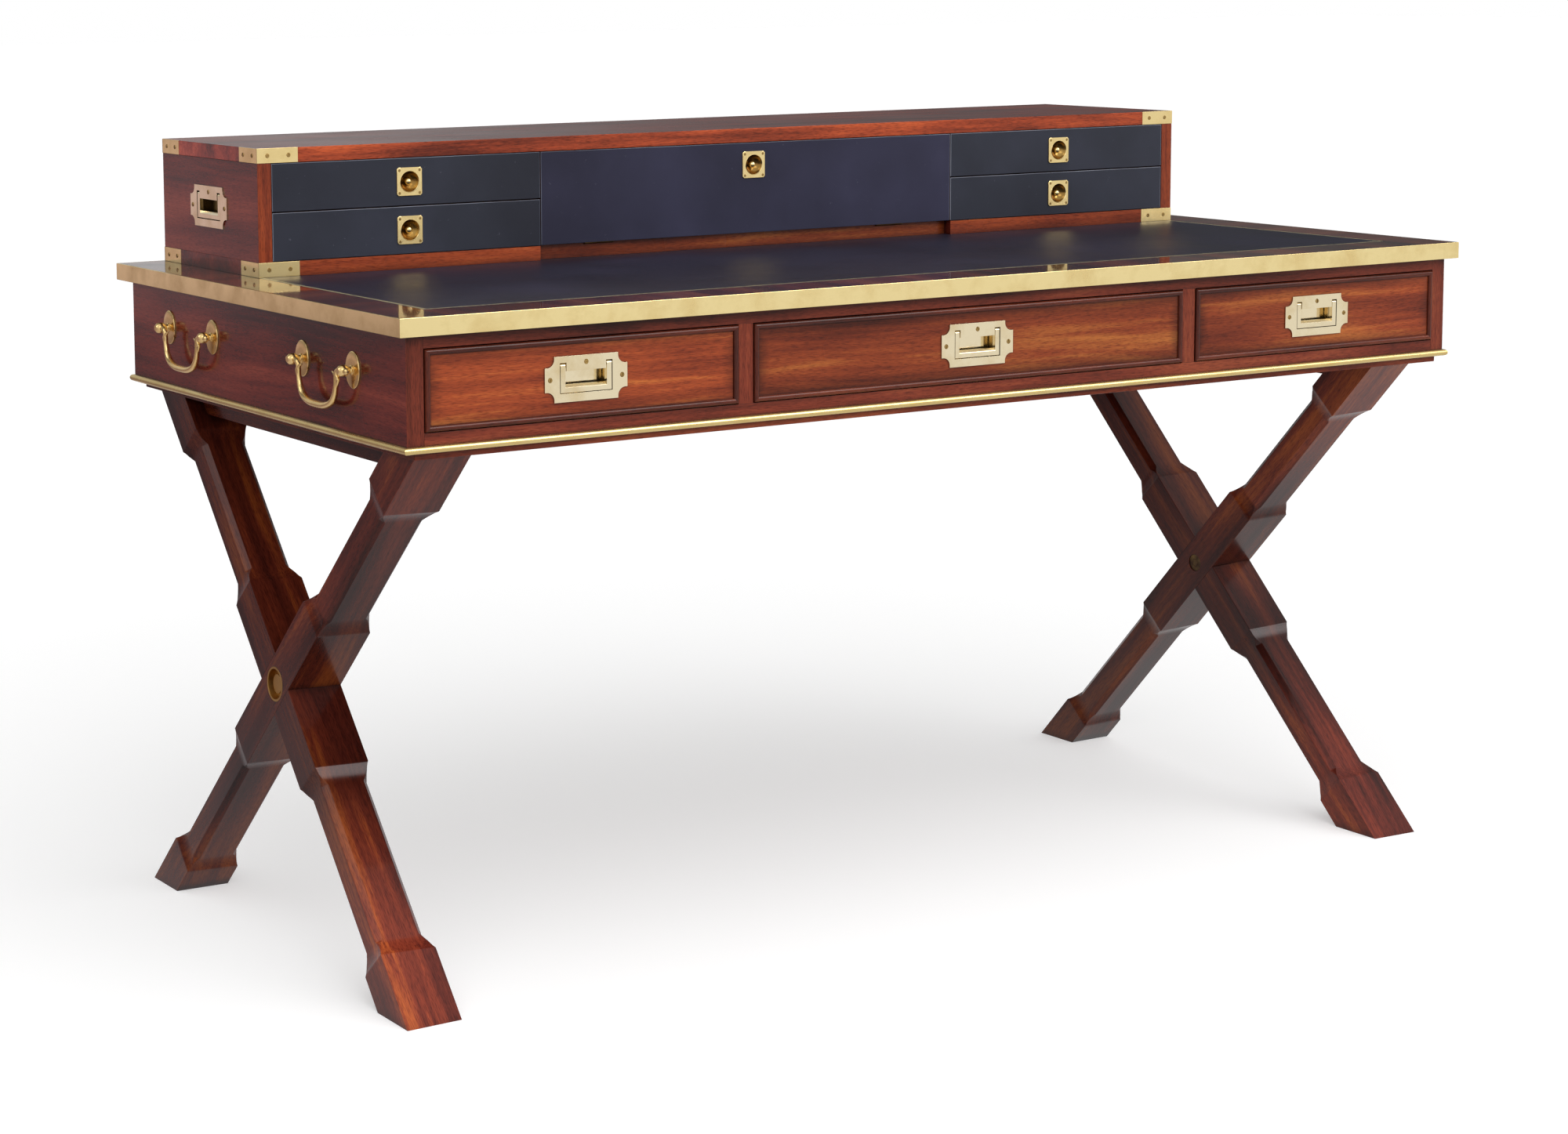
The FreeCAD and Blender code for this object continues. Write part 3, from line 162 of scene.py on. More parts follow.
def strip_round(bm, across, along, profile, place, run="along", arris=0.0, finish=0):
    """Four strips mitred round a rectangle; profile gives each corner's inset from the rectangle and its level,
    finish the number of the material on the piece."""
    (u0, u1), (v0, v1) = across, along
    for side in range(4):
        rings = []
        for far in (False, True):
            ring = []
            for inset, level in profile:
                u = u1 - inset if far else u0 + inset
                v = v1 - inset if far else v0 + inset
                corner = ((u, v0 + inset), (u1 - inset, v), (u, v1 - inset), (u0 + inset, v))[side]
                ring.append(bm.verts.new(place(*corner, level) / 1000))
            rings.append(ring)
        count = len(profile)
        faces = [bm.faces.new(rings[0]), bm.faces.new(rings[1])]
        for k in range(count):
            n = (k + 1) % count
            faces.append(bm.faces.new((rings[0][k], rings[0][n], rings[1][n], rings[1][k])))
        for face in faces:
            face.material_index = finish
        bmesh.ops.recalc_face_normals(bm, faces=faces)
        verts = rings[0] + rings[1]
        length = (rings[1][0].co - rings[0][0].co).normalized()
        other = (place(1, 1, 0) - place(0, 0, 0)).normalized().cross(length).normalized()
        width = length.cross(other).normalized()
        if arris:
            verts = ease(bm, verts, arris)
        if run == "along":
            lay_grain(bm, verts, length, width)
        else:
            lay_grain(bm, verts, width, length)


def flat(u, v, level):
    return Vector((u, v, level))


def plank(bm, low, high, run, arris=0.5, window=None, shaded=0.0, shade=None):
    """A board between two corners in mm; window is (axis, sign, depth, low, high) of a mortise in one face, right
    through where no depth is given, and shaded the width of the darker stain rubbed in round the edge."""
    low, high = Vector(low), Vector(high)
    if window is None:
        made = bmesh.ops.create_cube(bm, size=1)
        verts = made["verts"]
        for vert in verts:
            vert.co = Vector(h if c > 0 else l for c, l, h in zip(vert.co, low, high)) / 1000
    else:
        axis, sign, depth, hole_low, hole_high = window
        u, v = [i for i in range(3) if i != axis]
        face = high[axis] if sign > 0 else low[axis]
        back = low[axis] if sign > 0 else high[axis]

        def ring(lows, highs, level):
            out = []
            for a, b in ((0, 0), (1, 0), (1, 1), (0, 1)):
                point = [0, 0, 0]
                point[axis] = level
                point[u] = highs[0] if a else lows[0]
                point[v] = highs[1] if b else lows[1]
                out.append(bm.verts.new(Vector(point) / 1000))
            return out

        rings = [ring((low[u], low[v]), (high[u], high[v]), level) for level in (back, face)]
        if shaded:
            rings.append(ring((low[u] + shaded, low[v] + shaded), (high[u] - shaded, high[v] - shaded), face))
        floor_level = face - sign * depth if depth else back
        rings += [ring(hole_low, hole_high, level) for level in (face, floor_level)]
        faces = [bm.faces.new(rings[0]), bm.faces.new(rings[-1])] if depth else []
        for near, far in zip(rings, rings[1:] if depth else rings[1:] + rings[:1]):
            for k in range(4):
                n = (k + 1) % 4
                faces.append(bm.faces.new((near[k], near[n], far[n], far[k])))
        bmesh.ops.recalc_face_normals(bm, faces=faces)
        verts = [vert for one in rings for vert in one]
    if arris:
        verts = ease(bm, verts, arris)
    along = AXES[run]
    across = AXES["z"] if run != "z" else AXES["x"]
    lay_grain(bm, verts, along, across, shade)
    if shaded:
        tone = bm.verts.layers.float["tone"]
        for vert in rings[0] + rings[1]:
            vert[tone] -= 1.4


def piece(name, bm, finish, body, nodes, other=None, where=None):
    """One finished piece: it rides on its body and stands for its solids. Other is a second finish, for the faces
    that where picks out, or else for those already numbered 1."""
    if where:
        for face in bm.faces:
            face.material_index = 1 if where(face) else 0
    mesh = bpy.data.meshes.new(name)
    bm.to_mesh(mesh)
    bm.free()
    mesh.materials.append(finish)
    if other:
        mesh.materials.append(other)
    mesh.polygons.foreach_set("use_smooth", [True] * len(mesh.polygons))
    mesh.set_sharp_from_angle(angle=math.radians(38))
    obj = bpy.data.objects.new(name, mesh)
    bpy.context.scene.collection.objects.link(obj)
    # The broad faces keep their flatness, so that only the eased arrises turn the light
    obj.modifiers.new("Flat faces", "WEIGHTED_NORMAL").keep_sharp = True
    obj.data = bpy.data.meshes.new_from_object(obj.evaluated_get(bpy.context.evaluated_depsgraph_get()))
    obj.data.name = name
    obj.modifiers.clear()
    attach(obj, body)
    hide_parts(*nodes)


TOP = 762.0
UNDER_TOP = 742.0
HIDE = (686, 306)
mahogany_top = polished_mahogany(
    "Mahogany crossband, french polished",
    ((0.38, "#2c110c"), (0.46, "#4f2117"), (0.53, "#6e3020"), (0.62, "#8c4a2e")),
    gloss=0.2,
    polish=0.8,
)
boards = new_boards()
banding = ((0, UNDER_TOP), (0, TOP), (59, TOP), (59, UNDER_TOP))
strip_round(boards, (-745, 745), (-365, 365), banding, flat, run="across")
plank(boards, (-HIDE[0], -HIDE[1], UNDER_TOP), (HIDE[0], HIDE[1], TOP - 1.5), "x", arris=0)
piece("top_crossband", boards, mahogany_top, "desk", ["top_board"])


# The writing surface is navy hide let in flush with the crossband, with a single gilt line tooled just inside
# its edge. Skived, stretched and pasted down, it keeps a fine pebble and a soft semi-gloss.
def pasted_hide(name, stops, tooled=None):
    """Dyed hide with a millimetre pebble and a soft sheen; wear shows as small pale scuffs. Tooled gives the gilt
    line's half sizes and its width."""
    material, tree = new_material(name)
    place = add(tree, "ShaderNodeTexCoord").outputs["Object"]
    grains = {"Vector": place, "Scale": 900.0, "Smoothness": 0.6}
    pebble = add(tree, "ShaderNodeTexVoronoi", grains, feature="SMOOTH_F1")
    cloud = add(tree, "ShaderNodeTexNoise", {"Vector": place, "Scale": 6.0, "Detail": 4.0})
    ramp = add(tree, "ShaderNodeValToRGB", {"Fac": cloud})
    set_stops(ramp, stops)
    scuff = add(tree, "ShaderNodeTexNoise", {"Vector": place, "Scale": 140.0, "Detail": 3.0, "Roughness": 0.7})
    worn = add(tree, "ShaderNodeMapRange", {"Value": scuff, 1: 0.69, 2: 0.76, 3: 0.0, 4: 0.5})
    dyed = add(tree, "ShaderNodeMix", {"Factor": worn, 6: ramp, 7: linear("#5a5866")}, data_type="RGBA")
    if tooled:
        half_x, half_y, width = tooled
        parts = add(tree, "ShaderNodeSeparateXYZ", {0: place})
        edges = []
        for axis, half in (("X", half_x), ("Y", half_y)):
            size = add(tree, "ShaderNodeMath", {0: parts.outputs[axis]}, operation="ABSOLUTE")
            edges.append(add(tree, "ShaderNodeMath", {0: size, 1: half}, operation="SUBTRACT"))
        farther = add(tree, "ShaderNodeMath", {0: edges[0], 1: edges[1]}, operation="MAXIMUM")
        line = add(tree, "ShaderNodeMath", {0: farther, 1: 0.0, 2: width / 2}, operation="COMPARE")
        # Use has broken the gold leaf
        broken = add(tree, "ShaderNodeMapRange", {"Value": scuff, 1: 0.35, 2: 0.5, 3: 0.35, 4: 0.9})
        gilt = add(tree, "ShaderNodeMath", {0: line, 1: broken}, operation="MULTIPLY")
        leaf = {"Factor": gilt, 6: dyed.outputs[2], 7: linear("#a89d78")}
        dyed = add(tree, "ShaderNodeMix", leaf, data_type="RGBA")
    rough = add(tree, "ShaderNodeMapRange", {"Value": cloud, 1: 0.3, 2: 0.7, 3: 0.36, 4: 0.48})
    bump = add(tree, "ShaderNodeBump", {"Strength": 0.12, "Distance": 0.0004, "Height": pebble})
    leather = {"Base Color": dyed.outputs[2], "Roughness": rough, "Normal": bump, "Specular IOR Level": 0.18}
    shader = add(tree, "ShaderNodeBsdfPrincipled", leather)
    add(tree, "ShaderNodeOutputMaterial", {"Surface": shader})
    return material


top_hide = pasted_hide(
    "Navy hide, pasted and gilt tooled",
    ((0.3, "#1d1c28"), (0.55, "#252433"), (0.75, "#2d2b3d")),
    tooled=(0.682, 0.302, 0.004),
)
boards = new_boards()
plank(boards, (-HIDE[0], -HIDE[1], TOP - 1.5), (HIDE[0], HIDE[1], TOP), "x", arris=0.4)
piece("top_hide", boards, top_hide, "desk", ["top_leather"])


# A brass band is pinned round the edge of the top, its corners mitred and its arrises just broken by polishing.
def polished_brass(name, colour="#f5dfa2", rough=0.2):
    """Lacquered brass: a warm mirror, a little hazed, with faint clouds where hands and cloths have been, and
    painted shade with old polish dark in the corners."""
    material, tree = new_material(name)
    place = add(tree, "ShaderNodeTexCoord").outputs["Object"]
    cloud = add(tree, "ShaderNodeTexNoise", {"Vector": place, "Scale": 24.0, "Detail": 4.0, "Roughness": 0.6})
    tarnish = add(tree, "ShaderNodeMapRange", {"Value": cloud, 1: 0.45, 2: 0.75, 3: 0.0, 4: 0.45})
    clouded = {"Factor": tarnish, 6: linear(colour), 7: linear("#c9a660")}
    base = add(tree, "ShaderNodeMix", clouded, data_type="RGBA").outputs[2]
    # Painted shade darkens the brass within 3 mm of a gap or inner corner, with old polish there too
    shade_ao = add(tree, "ShaderNodeAmbientOcclusion", {"Distance": 0.003}, samples=6).outputs["AO"]
    corner = add(tree, "ShaderNodeMapRange", {"Value": shade_ao, 1: 0.2, 2: 0.75, 3: 0.75, 4: 0.0})
    with_painted_shade = add(tree, "ShaderNodeMix", {"Factor": corner, 6: base, 7: linear("#3d2a14")}, data_type="RGBA")
    haze = add(tree, "ShaderNodeMapRange", {"Value": cloud, 1: 0.3, 2: 0.7, 3: rough - 0.05, 4: rough + 0.08})
    # Fine polishing scratches, drawn 0.7 mm apart so that they show
    lines = add(tree, "ShaderNodeTexNoise", {"Vector": place, "Scale": 1400.0, "Detail": 2.0})
    bump = add(tree, "ShaderNodeBump", {"Strength": 0.02, "Distance": 0.0001, "Height": lines})
    metal = {"Base Color": with_painted_shade.outputs[2], "Roughness": haze, "Normal": bump, "Metallic": 1.0}
    shader = add(tree, "ShaderNodeBsdfPrincipled", metal)
    add(tree, "ShaderNodeOutputMaterial", {"Surface": shader})
    return material


band_brass = polished_brass("Brass, polished and lacquered")
boards = new_boards()
band = ((0, UNDER_TOP), (0, TOP), (3, TOP), (3, UNDER_TOP))
strip_round(boards, (-748, 748), (-368, 368), band, flat, arris=0.5)
piece("top_band", boards, band_brass, "desk", ["top_brass_band"])


# The case under the top: two ends, a back, a front frame of rails and stiles, and inside it the partitions and
# runners that the drawers slide on. Mahogany outside, plain waxed wood inside.
CASE = (627.0, UNDER_TOP)
CASE_X = (715, 735.5)
FRONT = -356.5
FRAME_BACK = -311.5
BACK = (333, 348)
RAILS = (640, 728)
mahogany_case = polished_mahogany(
    "Mahogany, ribbon figured, french polished",
    ((0.38, "#37140d"), (0.46, "#5f271a"), (0.53, "#763221"), (0.62, "#934a2e")),
    gloss=0.27,
)
mahogany_dark = polished_mahogany(
    "Mahogany, dark stained, french polished",
    ((0.38, "#39140c"), (0.46, "#632819"), (0.53, "#7c351f"), (0.62, "#994c2d")),
    gloss=0.27,
)
waxed_lining = polished_mahogany(
    "Cedar lining, planed and waxed",
    ((0.38, "#7a4a2c"), (0.46, "#94603b"), (0.53, "#a8734a"), (0.62, "#bb875b")),
    gloss=0.5,
    polish=0.0,
)
# Faces turned from the front, on the ends and tops, take this copy, painted plum for the bluish sheen they catch;
# the front faces take the orange copies
mahogany_end = polished_mahogany(
    "Mahogany, plum stained, french polished",
    ((0.38, "#3c1511"), (0.46, "#602019"), (0.53, "#782b20"), (0.62, "#923c2b")),
    gloss=0.24,
    polish=0.42,
)


def stand_grain(bm, y):
    """Turns the grain upright on the front edges of two ends, in front of y metres, so they show no end grain."""
    grain = bm.verts.layers.float_vector["grain"]
    for vert in bm.verts:
        if vert.co.y < y:
            vert[grain] = Vector((vert.co.z + 5, vert.co.x + 3, vert.co.y))


def faces_front(face):
    return face.normal.y < -0.9


boards = new_boards()
for sx in (-1, 1):
    x0, x1 = sorted(sx * x for x in CASE_X)
    plank(boards, (x0, FRONT, CASE[0]), (x1, BACK[1], CASE[1]), "y", shade=0.5)
stand_grain(boards, -0.3564)
piece(
    "case_ends_polished", boards, mahogany_end, "desk", ["case_ends"],
    other=mahogany_case, where=faces_front,
)
boards = new_boards()
plank(boards, (-CASE_X[0], BACK[0], CASE[0]), (CASE_X[0], BACK[1], CASE[1]), "x")
piece("case_back_polished", boards, mahogany_case, "desk", ["case_back"])
boards = new_boards()
for z0, z1 in ((RAILS[1], CASE[1]), (CASE[0], RAILS[0])):
    plank(boards, (-CASE_X[0], FRONT, z0), (CASE_X[0], FRAME_BACK, z1), "x")
for x0, x1 in ((-326, -307), (307, 326)):
    plank(boards, (x0, FRONT, RAILS[0]), (x1, FRAME_BACK, RAILS[1]), "z")
piece("case_rails_and_stiles", boards, mahogany_case, "desk", ["case_front_frame"])
boards = new_boards()
for x0, x1 in ((-324, -309), (309, 324)):
    plank(boards, (x0, FRAME_BACK, CASE[0]), (x1, BACK[0], CASE[1]), "y")
for bay in ((-CASE_X[0], -324), (-309, 309), (324, CASE_X[0])):
    for x0 in (bay[0], bay[1] - 18):
        plank(boards, (x0, FRAME_BACK, CASE[0]), (x0 + 18, BACK[0], RAILS[0]), "y")
piece("drawer_partitions_and_runners", boards, waxed_lining, "desk", ["drawer_guides"])


# Under the case runs a half-round brass bead, mitred at the corners, with the bottom board inside it and a low
# mahogany base frame below, on which the leg frames are screwed.
BASE = (612, 619)
boards = new_boards()
plank(boards, (-720.5, -341.5, BASE[1]), (720.5, BACK[0], CASE[0]), "x")
piece("case_bottom", boards, mahogany_dark, "desk", ["bottom_board"])
bead_middle = (BASE[1] + CASE[0]) / 2
nose = [(20, CASE[0]), (20, BASE[1])]
for step in range(9):
    turn = math.pi * (step / 8 - 0.5)
    nose.append((4 - 4 * math.cos(turn), bead_middle + 4 * math.sin(turn)))
boards = new_boards()
strip_round(boards, (-740.5, 740.5), (-361.5, 353), nose, flat)
bead_brass = polished_brass("Brass bead, drawn, dulled", colour="#d8be80", rough=0.26)
piece("base_bead", boards, bead_brass, "desk", ["brass_bead"])
boards = new_boards()
strip = ((0, BASE[0]), (0, BASE[1]), (90, BASE[1]), (90, BASE[0]))
strip_round(boards, (-725.5, 725.5), (-353.5, 338), strip, flat, arris=0.8)
piece("base_strips", boards, mahogany_dark, "desk", ["base_frame"])


# Two crossed leg frames. Each leg is one mahogany baulk, left square at foot, crossing and head, worked down
# between with coves and stopped chamfers, halved through its partner and stained a shade deeper than the case.
mahogany_leg = polished_mahogany(
    "Mahogany baulk, stained, french polished",
    ((0.36, "#210b08"), (0.45, "#411710"), (0.53, "#5c2416"), (0.62, "#85411c")),
    gloss=0.22,
    polish=0.15,
)


def from_solid(node, width, least=25):
    """A copy of one CAD solid with its facets joined and its arrises eased."""
    bm = bmesh.new()
    bm.from_mesh(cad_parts[node].data)
    for layer in list(bm.loops.layers.uv):
        bm.loops.layers.uv.remove(layer)
    bmesh.ops.remove_doubles(bm, verts=bm.verts, dist=1e-5)
    bmesh.ops.dissolve_limit(bm, angle_limit=math.radians(0.5), verts=bm.verts, edges=bm.edges)
    bm.verts.layers.float_vector.new("grain")
    bm.verts.layers.float.new("tone")
    if width:
        ease(bm, list(bm.verts), width, least)
    return bm


# The legs rise 612 mm over a spread of 594 mm in frames that lean in by 2 degrees
LEG_RISE = math.atan2(612 / math.cos(math.radians(2)), 594)
for hand, turn in (("left", 1), ("right", -1)):
    for kind, lean in (("outer", -1), ("inner", 1)):
        leg = from_solid(f"leg_{hand}_{kind}", 0.8, 40)
        axis = Vector((0, turn * lean * math.cos(LEG_RISE), math.sin(LEG_RISE)))
        lay_grain(leg, leg.verts, axis, AXES["x"], 0.0)
        tone = leg.verts.layers.float["tone"]
        # Painted light raises the tone of the front feet and heads, and painted shade lowers it on the front
        # shafts between
        for vert in leg.verts:
            if vert.co.y < -0.05:
                vert[tone] += 4.8 if vert.co.z < 0.13 else 2.4 if vert.co.z > 0.4 else -0.9
        piece(f"leg_{hand}_{kind}_polished", leg, mahogany_leg, "desk", [f"leg_{hand}_{kind}"])
rails = from_solid("end_rails", 0.8, 40)
lay_grain(rails, rails.verts, AXES["y"], AXES["z"], 0.0)
piece("leg_head_rails", rails, mahogany_leg, "desk", ["end_rails"])


# Each crossing is drawn up by a bolt whose head lies in a turned brass cup, with a sunk round nut inside.
cup_brass = polished_brass("Brass, turned, dulled", colour="#a87f47", rough=0.34)
# The nuts are painted near black, for the shade in the recesses they sit in
nut_bronze = polished_brass("Bronze nut, painted dark for the shade of its recess", colour="#3a2a22", rough=0.45)


def is_nut(face):
    return abs(face.calc_center_median().x) < 0.69


bolts = from_solid("cross_bolts", 0.3)
piece("crossing_cups_and_bolts", bolts, cup_brass, "desk", ["cross_bolts"], nut_bronze, is_nut)


# Swan-neck handles on the ends: oval roses with turned posts, and between each pair a cast bail, thick in the
# middle and thin at the necks, hanging on pins through the posts.
end_brass = polished_brass("Brass, cast and polished", colour="#e8c88c", rough=0.2)
HANDLE_UP = 695.0
HANDLE_OUT = CASE_X[1] + 13


def skin(bm, rings):
    """Faces between rings of points, closed at both ends."""
    faces = [bm.faces.new(rings[0]), bm.faces.new(rings[-1])]
    for a, b in zip(rings, rings[1:]):
        for k in range(len(a)):
            n = (k + 1) % len(a)
            faces.append(bm.faces.new((a[k], a[n], b[n], b[k])))
    bmesh.ops.recalc_face_normals(bm, faces=faces)


def spun(bm, profile, place, wide=1.0, high=1.0, steps=40):
    """Turns a profile of (radius, reach) round its axis, stretched to an oval if asked."""
    rings = []
    for radius, reach in profile:
        ring = []
        for step in range(steps):
            turn = 2 * math.pi * step / steps
            u, v = radius * wide * math.cos(turn), radius * high * math.sin(turn)
            ring.append(bm.verts.new(place(u, reach, v) / 1000))
        rings.append(ring)
    skin(bm, rings)


def cast_bar(bm, points, place):
    """An oval bar along a smooth line; each point is its way along and up, half its thickness and half its
    width."""
    line = []
    last = len(points) - 1
    for k in range(last):
        before, here, there, after = (Vector(points[min(max(k + j, 0), last)]) for j in (-1, 0, 1, 2))
        for t in (0, 0.2, 0.4, 0.6, 0.8):
            bend = 2 * before - 5 * here + 4 * there - after
            sway = 3 * here - before - 3 * there + after
            line.append((2 * here + t * (there - before) + t**2 * bend + t**3 * sway) / 2)
    line.append(Vector(points[-1]))
    rings = []
    for k, point in enumerate(line):
        ahead = line[min(k + 1, len(line) - 1)] - line[max(k - 1, 0)]
        side = Vector((-ahead[1], ahead[0])).normalized()
        ring = []
        for step in range(16):
            turn = 2 * math.pi * step / 16
            off = side * point[2] * math.cos(turn)
            out = point[3] * math.sin(turn)
            ring.append(bm.verts.new(place(point[0] + off[0], out, point[1] + off[1]) / 1000))
        rings.append(ring)
    skin(bm, rings)


rose = ((16, 0), (16, 1.2), (15.3, 1.9), (9, 2.5))
post = ((5.6, 2.2), (5.4, 3.2), (4.1, 4.0), (3.7, 5.6), (4.4, 6.9))
post += ((6.1, 9.4), (6.5, 12), (6.5, 14), (5.6, 17), (3.4, 19.2))
half_bail = [
    (66, 0, 2.9, 2.9),
    (57, 0, 2.9, 2.9),
    (51, -0.3, 3.0, 3.0),
    (46.6, -2.8, 2.8, 3.0),
    (45, -8, 2.4, 2.9),
    (44.4, -17, 2.3, 2.9),
    (41, -28, 2.8, 3.5),
    (33, -36.8, 3.4, 4.4),
    (18, -41.6, 3.9, 5.0),
]
bow = half_bail + [(0, -42.4, 4.0, 5.2)] + [(-u, *rest) for u, *rest in half_bail[::-1]]
tip = ((66, 0, 2.9, 2.9), (68.2, 0, 3.7, 3.7), (71, 0, 3.1, 3.1), (73, 0, 1.4, 1.4))
beak = ((45, -9, 1.8, 2.3), (42, -5, 1.8, 2.1), (36.5, -3, 0.7, 1.0))
leaf = ((46.2, -4.5, 0.8, 1.6), (48.6, -11.5, 2.8, 2.2), (45.8, -19.5, 0.5, 1.3))
mounts = new_boards()
for hand, sx in (("left", -1), ("right", 1)):
    for place, sy in (("front", -1), ("rear", 1)):
        middle = sy * 178
        for offset in (-60.5, 60.5):

            def out(u, reach, v, sx=sx, y=middle + offset):
                return Vector((sx * (CASE_X[1] + reach), y + u, HANDLE_UP + v))

            spun(mounts, rose, out, wide=1.0, high=1.25)
            spun(mounts, post, out, steps=28)

        def hung(u, reach, v, sx=sx, y=middle):
            return Vector((sx * (HANDLE_OUT + reach), y + u, HANDLE_UP + v))

        name = f"end_handle_{hand}_{place}"
        bail = bmesh.new()
        cast_bar(bail, bow, hung)
        for end in (-1, 1):
            for part in (tip, beak, leaf):
                cast_bar(bail, [(end * u, *rest) for u, *rest in part], hung)
        piece(f"{name}_swan_bail", bail, end_brass, name, [f"{name}_bail"])
piece("end_roses_and_posts", mounts, end_brass, "desk", ["end_handle_mounts"])


# Frieze drawers: a figured mahogany front with a cock bead let in round its edge, a waxed box behind it, and a
# flush brass handle whose bail drops into a recessed box.
mahogany_front = polished_mahogany(
    "Mahogany drawer front, ribbon figured, french polished",
    ((0.36, "#481a0e"), (0.45, "#783019"), (0.53, "#984321"), (0.62, "#bf6d33")),
    gloss=0.26,
    polish=0.15,
)
handle_brass = polished_brass("Brass, stamped and polished", colour="#efe0bd", rough=0.14)


def upright(u, v, level):
    return Vector((u, level, v))


mahogany_bead = polished_mahogany(
    "Mahogany cock bead, scratched and polished",
    ((0.38, "#2c0e08"), (0.46, "#471a0e"), (0.53, "#5c2413"), (0.62, "#77351b")),
    gloss=0.3,
    polish=0.25,
)
FRIEZE = (640.8, 727.2)
BEAD = 6.5
HANDLE_LEVEL = 684
BEHIND_FRONT = FRONT + 20
BOX_REAR = FRONT + 640
BOX = (640.5, 716.5)
SIDE = 11
bead_line = [(BEAD, FRONT + 6), (0, FRONT + 6)]
for step in range(9):
    turn = math.pi * step / 8
    bead_line.append((BEAD / 2 - BEAD / 2 * math.cos(turn), FRONT - 0.2 - 2.8 * math.sin(turn)))
# The three fronts' tones are painted light, lighter on the left and darker to the right, as the light falls off
# across them
for place, x0, x1, light in (
    ("left", -714.2, -326.8, 0.8),
    ("centre", -306.2, 306.2, -0.25),
    ("right", 326.8, 714.2, -0.2),
):
    name = f"frieze_{place}"
    body = f"{name}_drawer"
    middle = (x0 + x1) / 2
    hole = ((middle - 33.9, HANDLE_LEVEL - 16.9), (middle + 33.9, HANDLE_LEVEL + 18.9))
    boards = new_boards()
    low, high = (x0 + BEAD, FRONT, FRIEZE[0] + BEAD), (x1 - BEAD, BEHIND_FRONT, FRIEZE[1] - BEAD)
    plank(boards, low, high, "x", arris=0, window=(1, -1, 13.4, *hole), shaded=15, shade=light)
    low, high = (x0, FRONT + 6, FRIEZE[0]), (x1, BEHIND_FRONT, FRIEZE[1])
    plank(boards, low, high, "x", arris=0, window=(1, -1, 8.0, *hole))
    # The tone rises at the outer end of the right front, so it renders paler there
    tone = boards.verts.layers.float["tone"]
    for vert in boards.verts:
        vert[tone] += 0.9 if vert.co.x > 0.66 else 0.0
    strip_round(boards, (x0, x1), FRIEZE, bead_line, upright, finish=1)
    piece(
        f"{body}_figured_front", boards, mahogany_front, body, [f"{body}_front"], mahogany_bead
    )
    boards = new_boards()
    for a in (x0, x1 - SIDE):
        plank(boards, (a, BEHIND_FRONT, BOX[0]), (a + SIDE, BOX_REAR, BOX[1]), "y")
    plank(boards, (x0 + SIDE, BOX_REAR - SIDE, BOX[0]), (x1 - SIDE, BOX_REAR, BOX[1]), "x")
    low, high = (x0 + SIDE, BEHIND_FRONT, BOX[0] + 6), (x1 - SIDE, BOX_REAR - SIDE, BOX[0] + 12)
    plank(boards, low, high, "x", arris=0)
    piece(f"{body}_waxed_box", boards, waxed_lining, body, [f"{body}_box"])
    plate = from_solid(f"{name}_handle_plate", 0.3)
    piece(f"{name}_flush_plate", plate, handle_brass, body, [f"{name}_handle_plate"])
    bail = from_solid(f"{name}_handle_bail", 0.4)
    piece(f"{name}_flush_bail", bail, handle_brass, f"{name}_bail", [f"{name}_handle_bail"])


# The gallery stands on the back of the top: a low mahogany box with a top, bottom, ends and back, dividers and
# shelves inside, and a flush handle in each end to lift it off by.
GALLERY = (TOP, 779.5, 894.0, 911.5)
GALLERY_Y = (94.5, 362.0)
GALLERY_X = (668.5, 686)
GALLERY_BACK = 354
BAY_FRONT = 107.6
LIFT_HANDLE = (228.25, 836.75)


def is_end(face):
    return abs(face.normal.x) > 0.9


def is_end_or_top(face):
    return face.normal.z > 0.9 or is_end(face)


def in_recess(face):
    return abs(face.calc_center_median().x) < 0.685


boards = new_boards()
low, high = (-GALLERY_X[1], GALLERY_Y[0], GALLERY[2]), (GALLERY_X[1], GALLERY_Y[1], GALLERY[3])
plank(boards, low, high, "x", arris=0.8, shade=4.0)
# Only the front edge of the top keeps the raised tone, in the figure of the drawer fronts
tone = boards.verts.layers.float["tone"]
for vert in boards.verts:
    vert[tone] = 0.2 if vert.co.z > 0.911 and vert.co.y > 0.095 else vert[tone]
piece(
    "gallery_top_polished", boards, mahogany_front, "gallery", ["gallery_top"],
    other=mahogany_end, where=is_end_or_top,
)
boards = new_boards()
for x0, x1, y0 in (
    (-GALLERY_X[1], -310.25, GALLERY_Y[0]),
    (-310.25, 310.25, BAY_FRONT),
    (310.25, GALLERY_X[1], GALLERY_Y[0]),
):
    plank(boards, (x0, y0, GALLERY[0]), (x1, GALLERY_Y[1], GALLERY[1]), "x", arris=0.3)
piece(
    "gallery_bottom_polished", boards, mahogany_front, "gallery", ["gallery_bottom"],
    other=mahogany_end, where=is_end,
)
boards = new_boards()
hole = ((LIFT_HANDLE[0] - 33.9, LIFT_HANDLE[1] - 16.9), (LIFT_HANDLE[0] + 33.9, LIFT_HANDLE[1] + 18.9))
for sx in (-1, 1):
    x0, x1 = sorted(sx * x for x in GALLERY_X)
    low, high = (x0, GALLERY_Y[0], GALLERY[1]), (x1, GALLERY_Y[1], GALLERY[2])
    plank(boards, low, high, "y", arris=0.4, window=(0, sx, 13.4, *hole), shade=0.6)
stand_grain(boards, 0.0946)
piece(
    "gallery_ends_polished", boards, mahogany_end, "gallery", ["gallery_ends"],
    other=mahogany_front, where=faces_front,
)
boards = new_boards()
low, high = (-GALLERY_X[0], GALLERY_BACK, GALLERY[1]), (GALLERY_X[0], GALLERY_Y[1], GALLERY[2])
plank(boards, low, high, "x", arris=0)
piece("gallery_back_polished", boards, mahogany_case, "gallery", ["gallery_back"])
boards = new_boards()
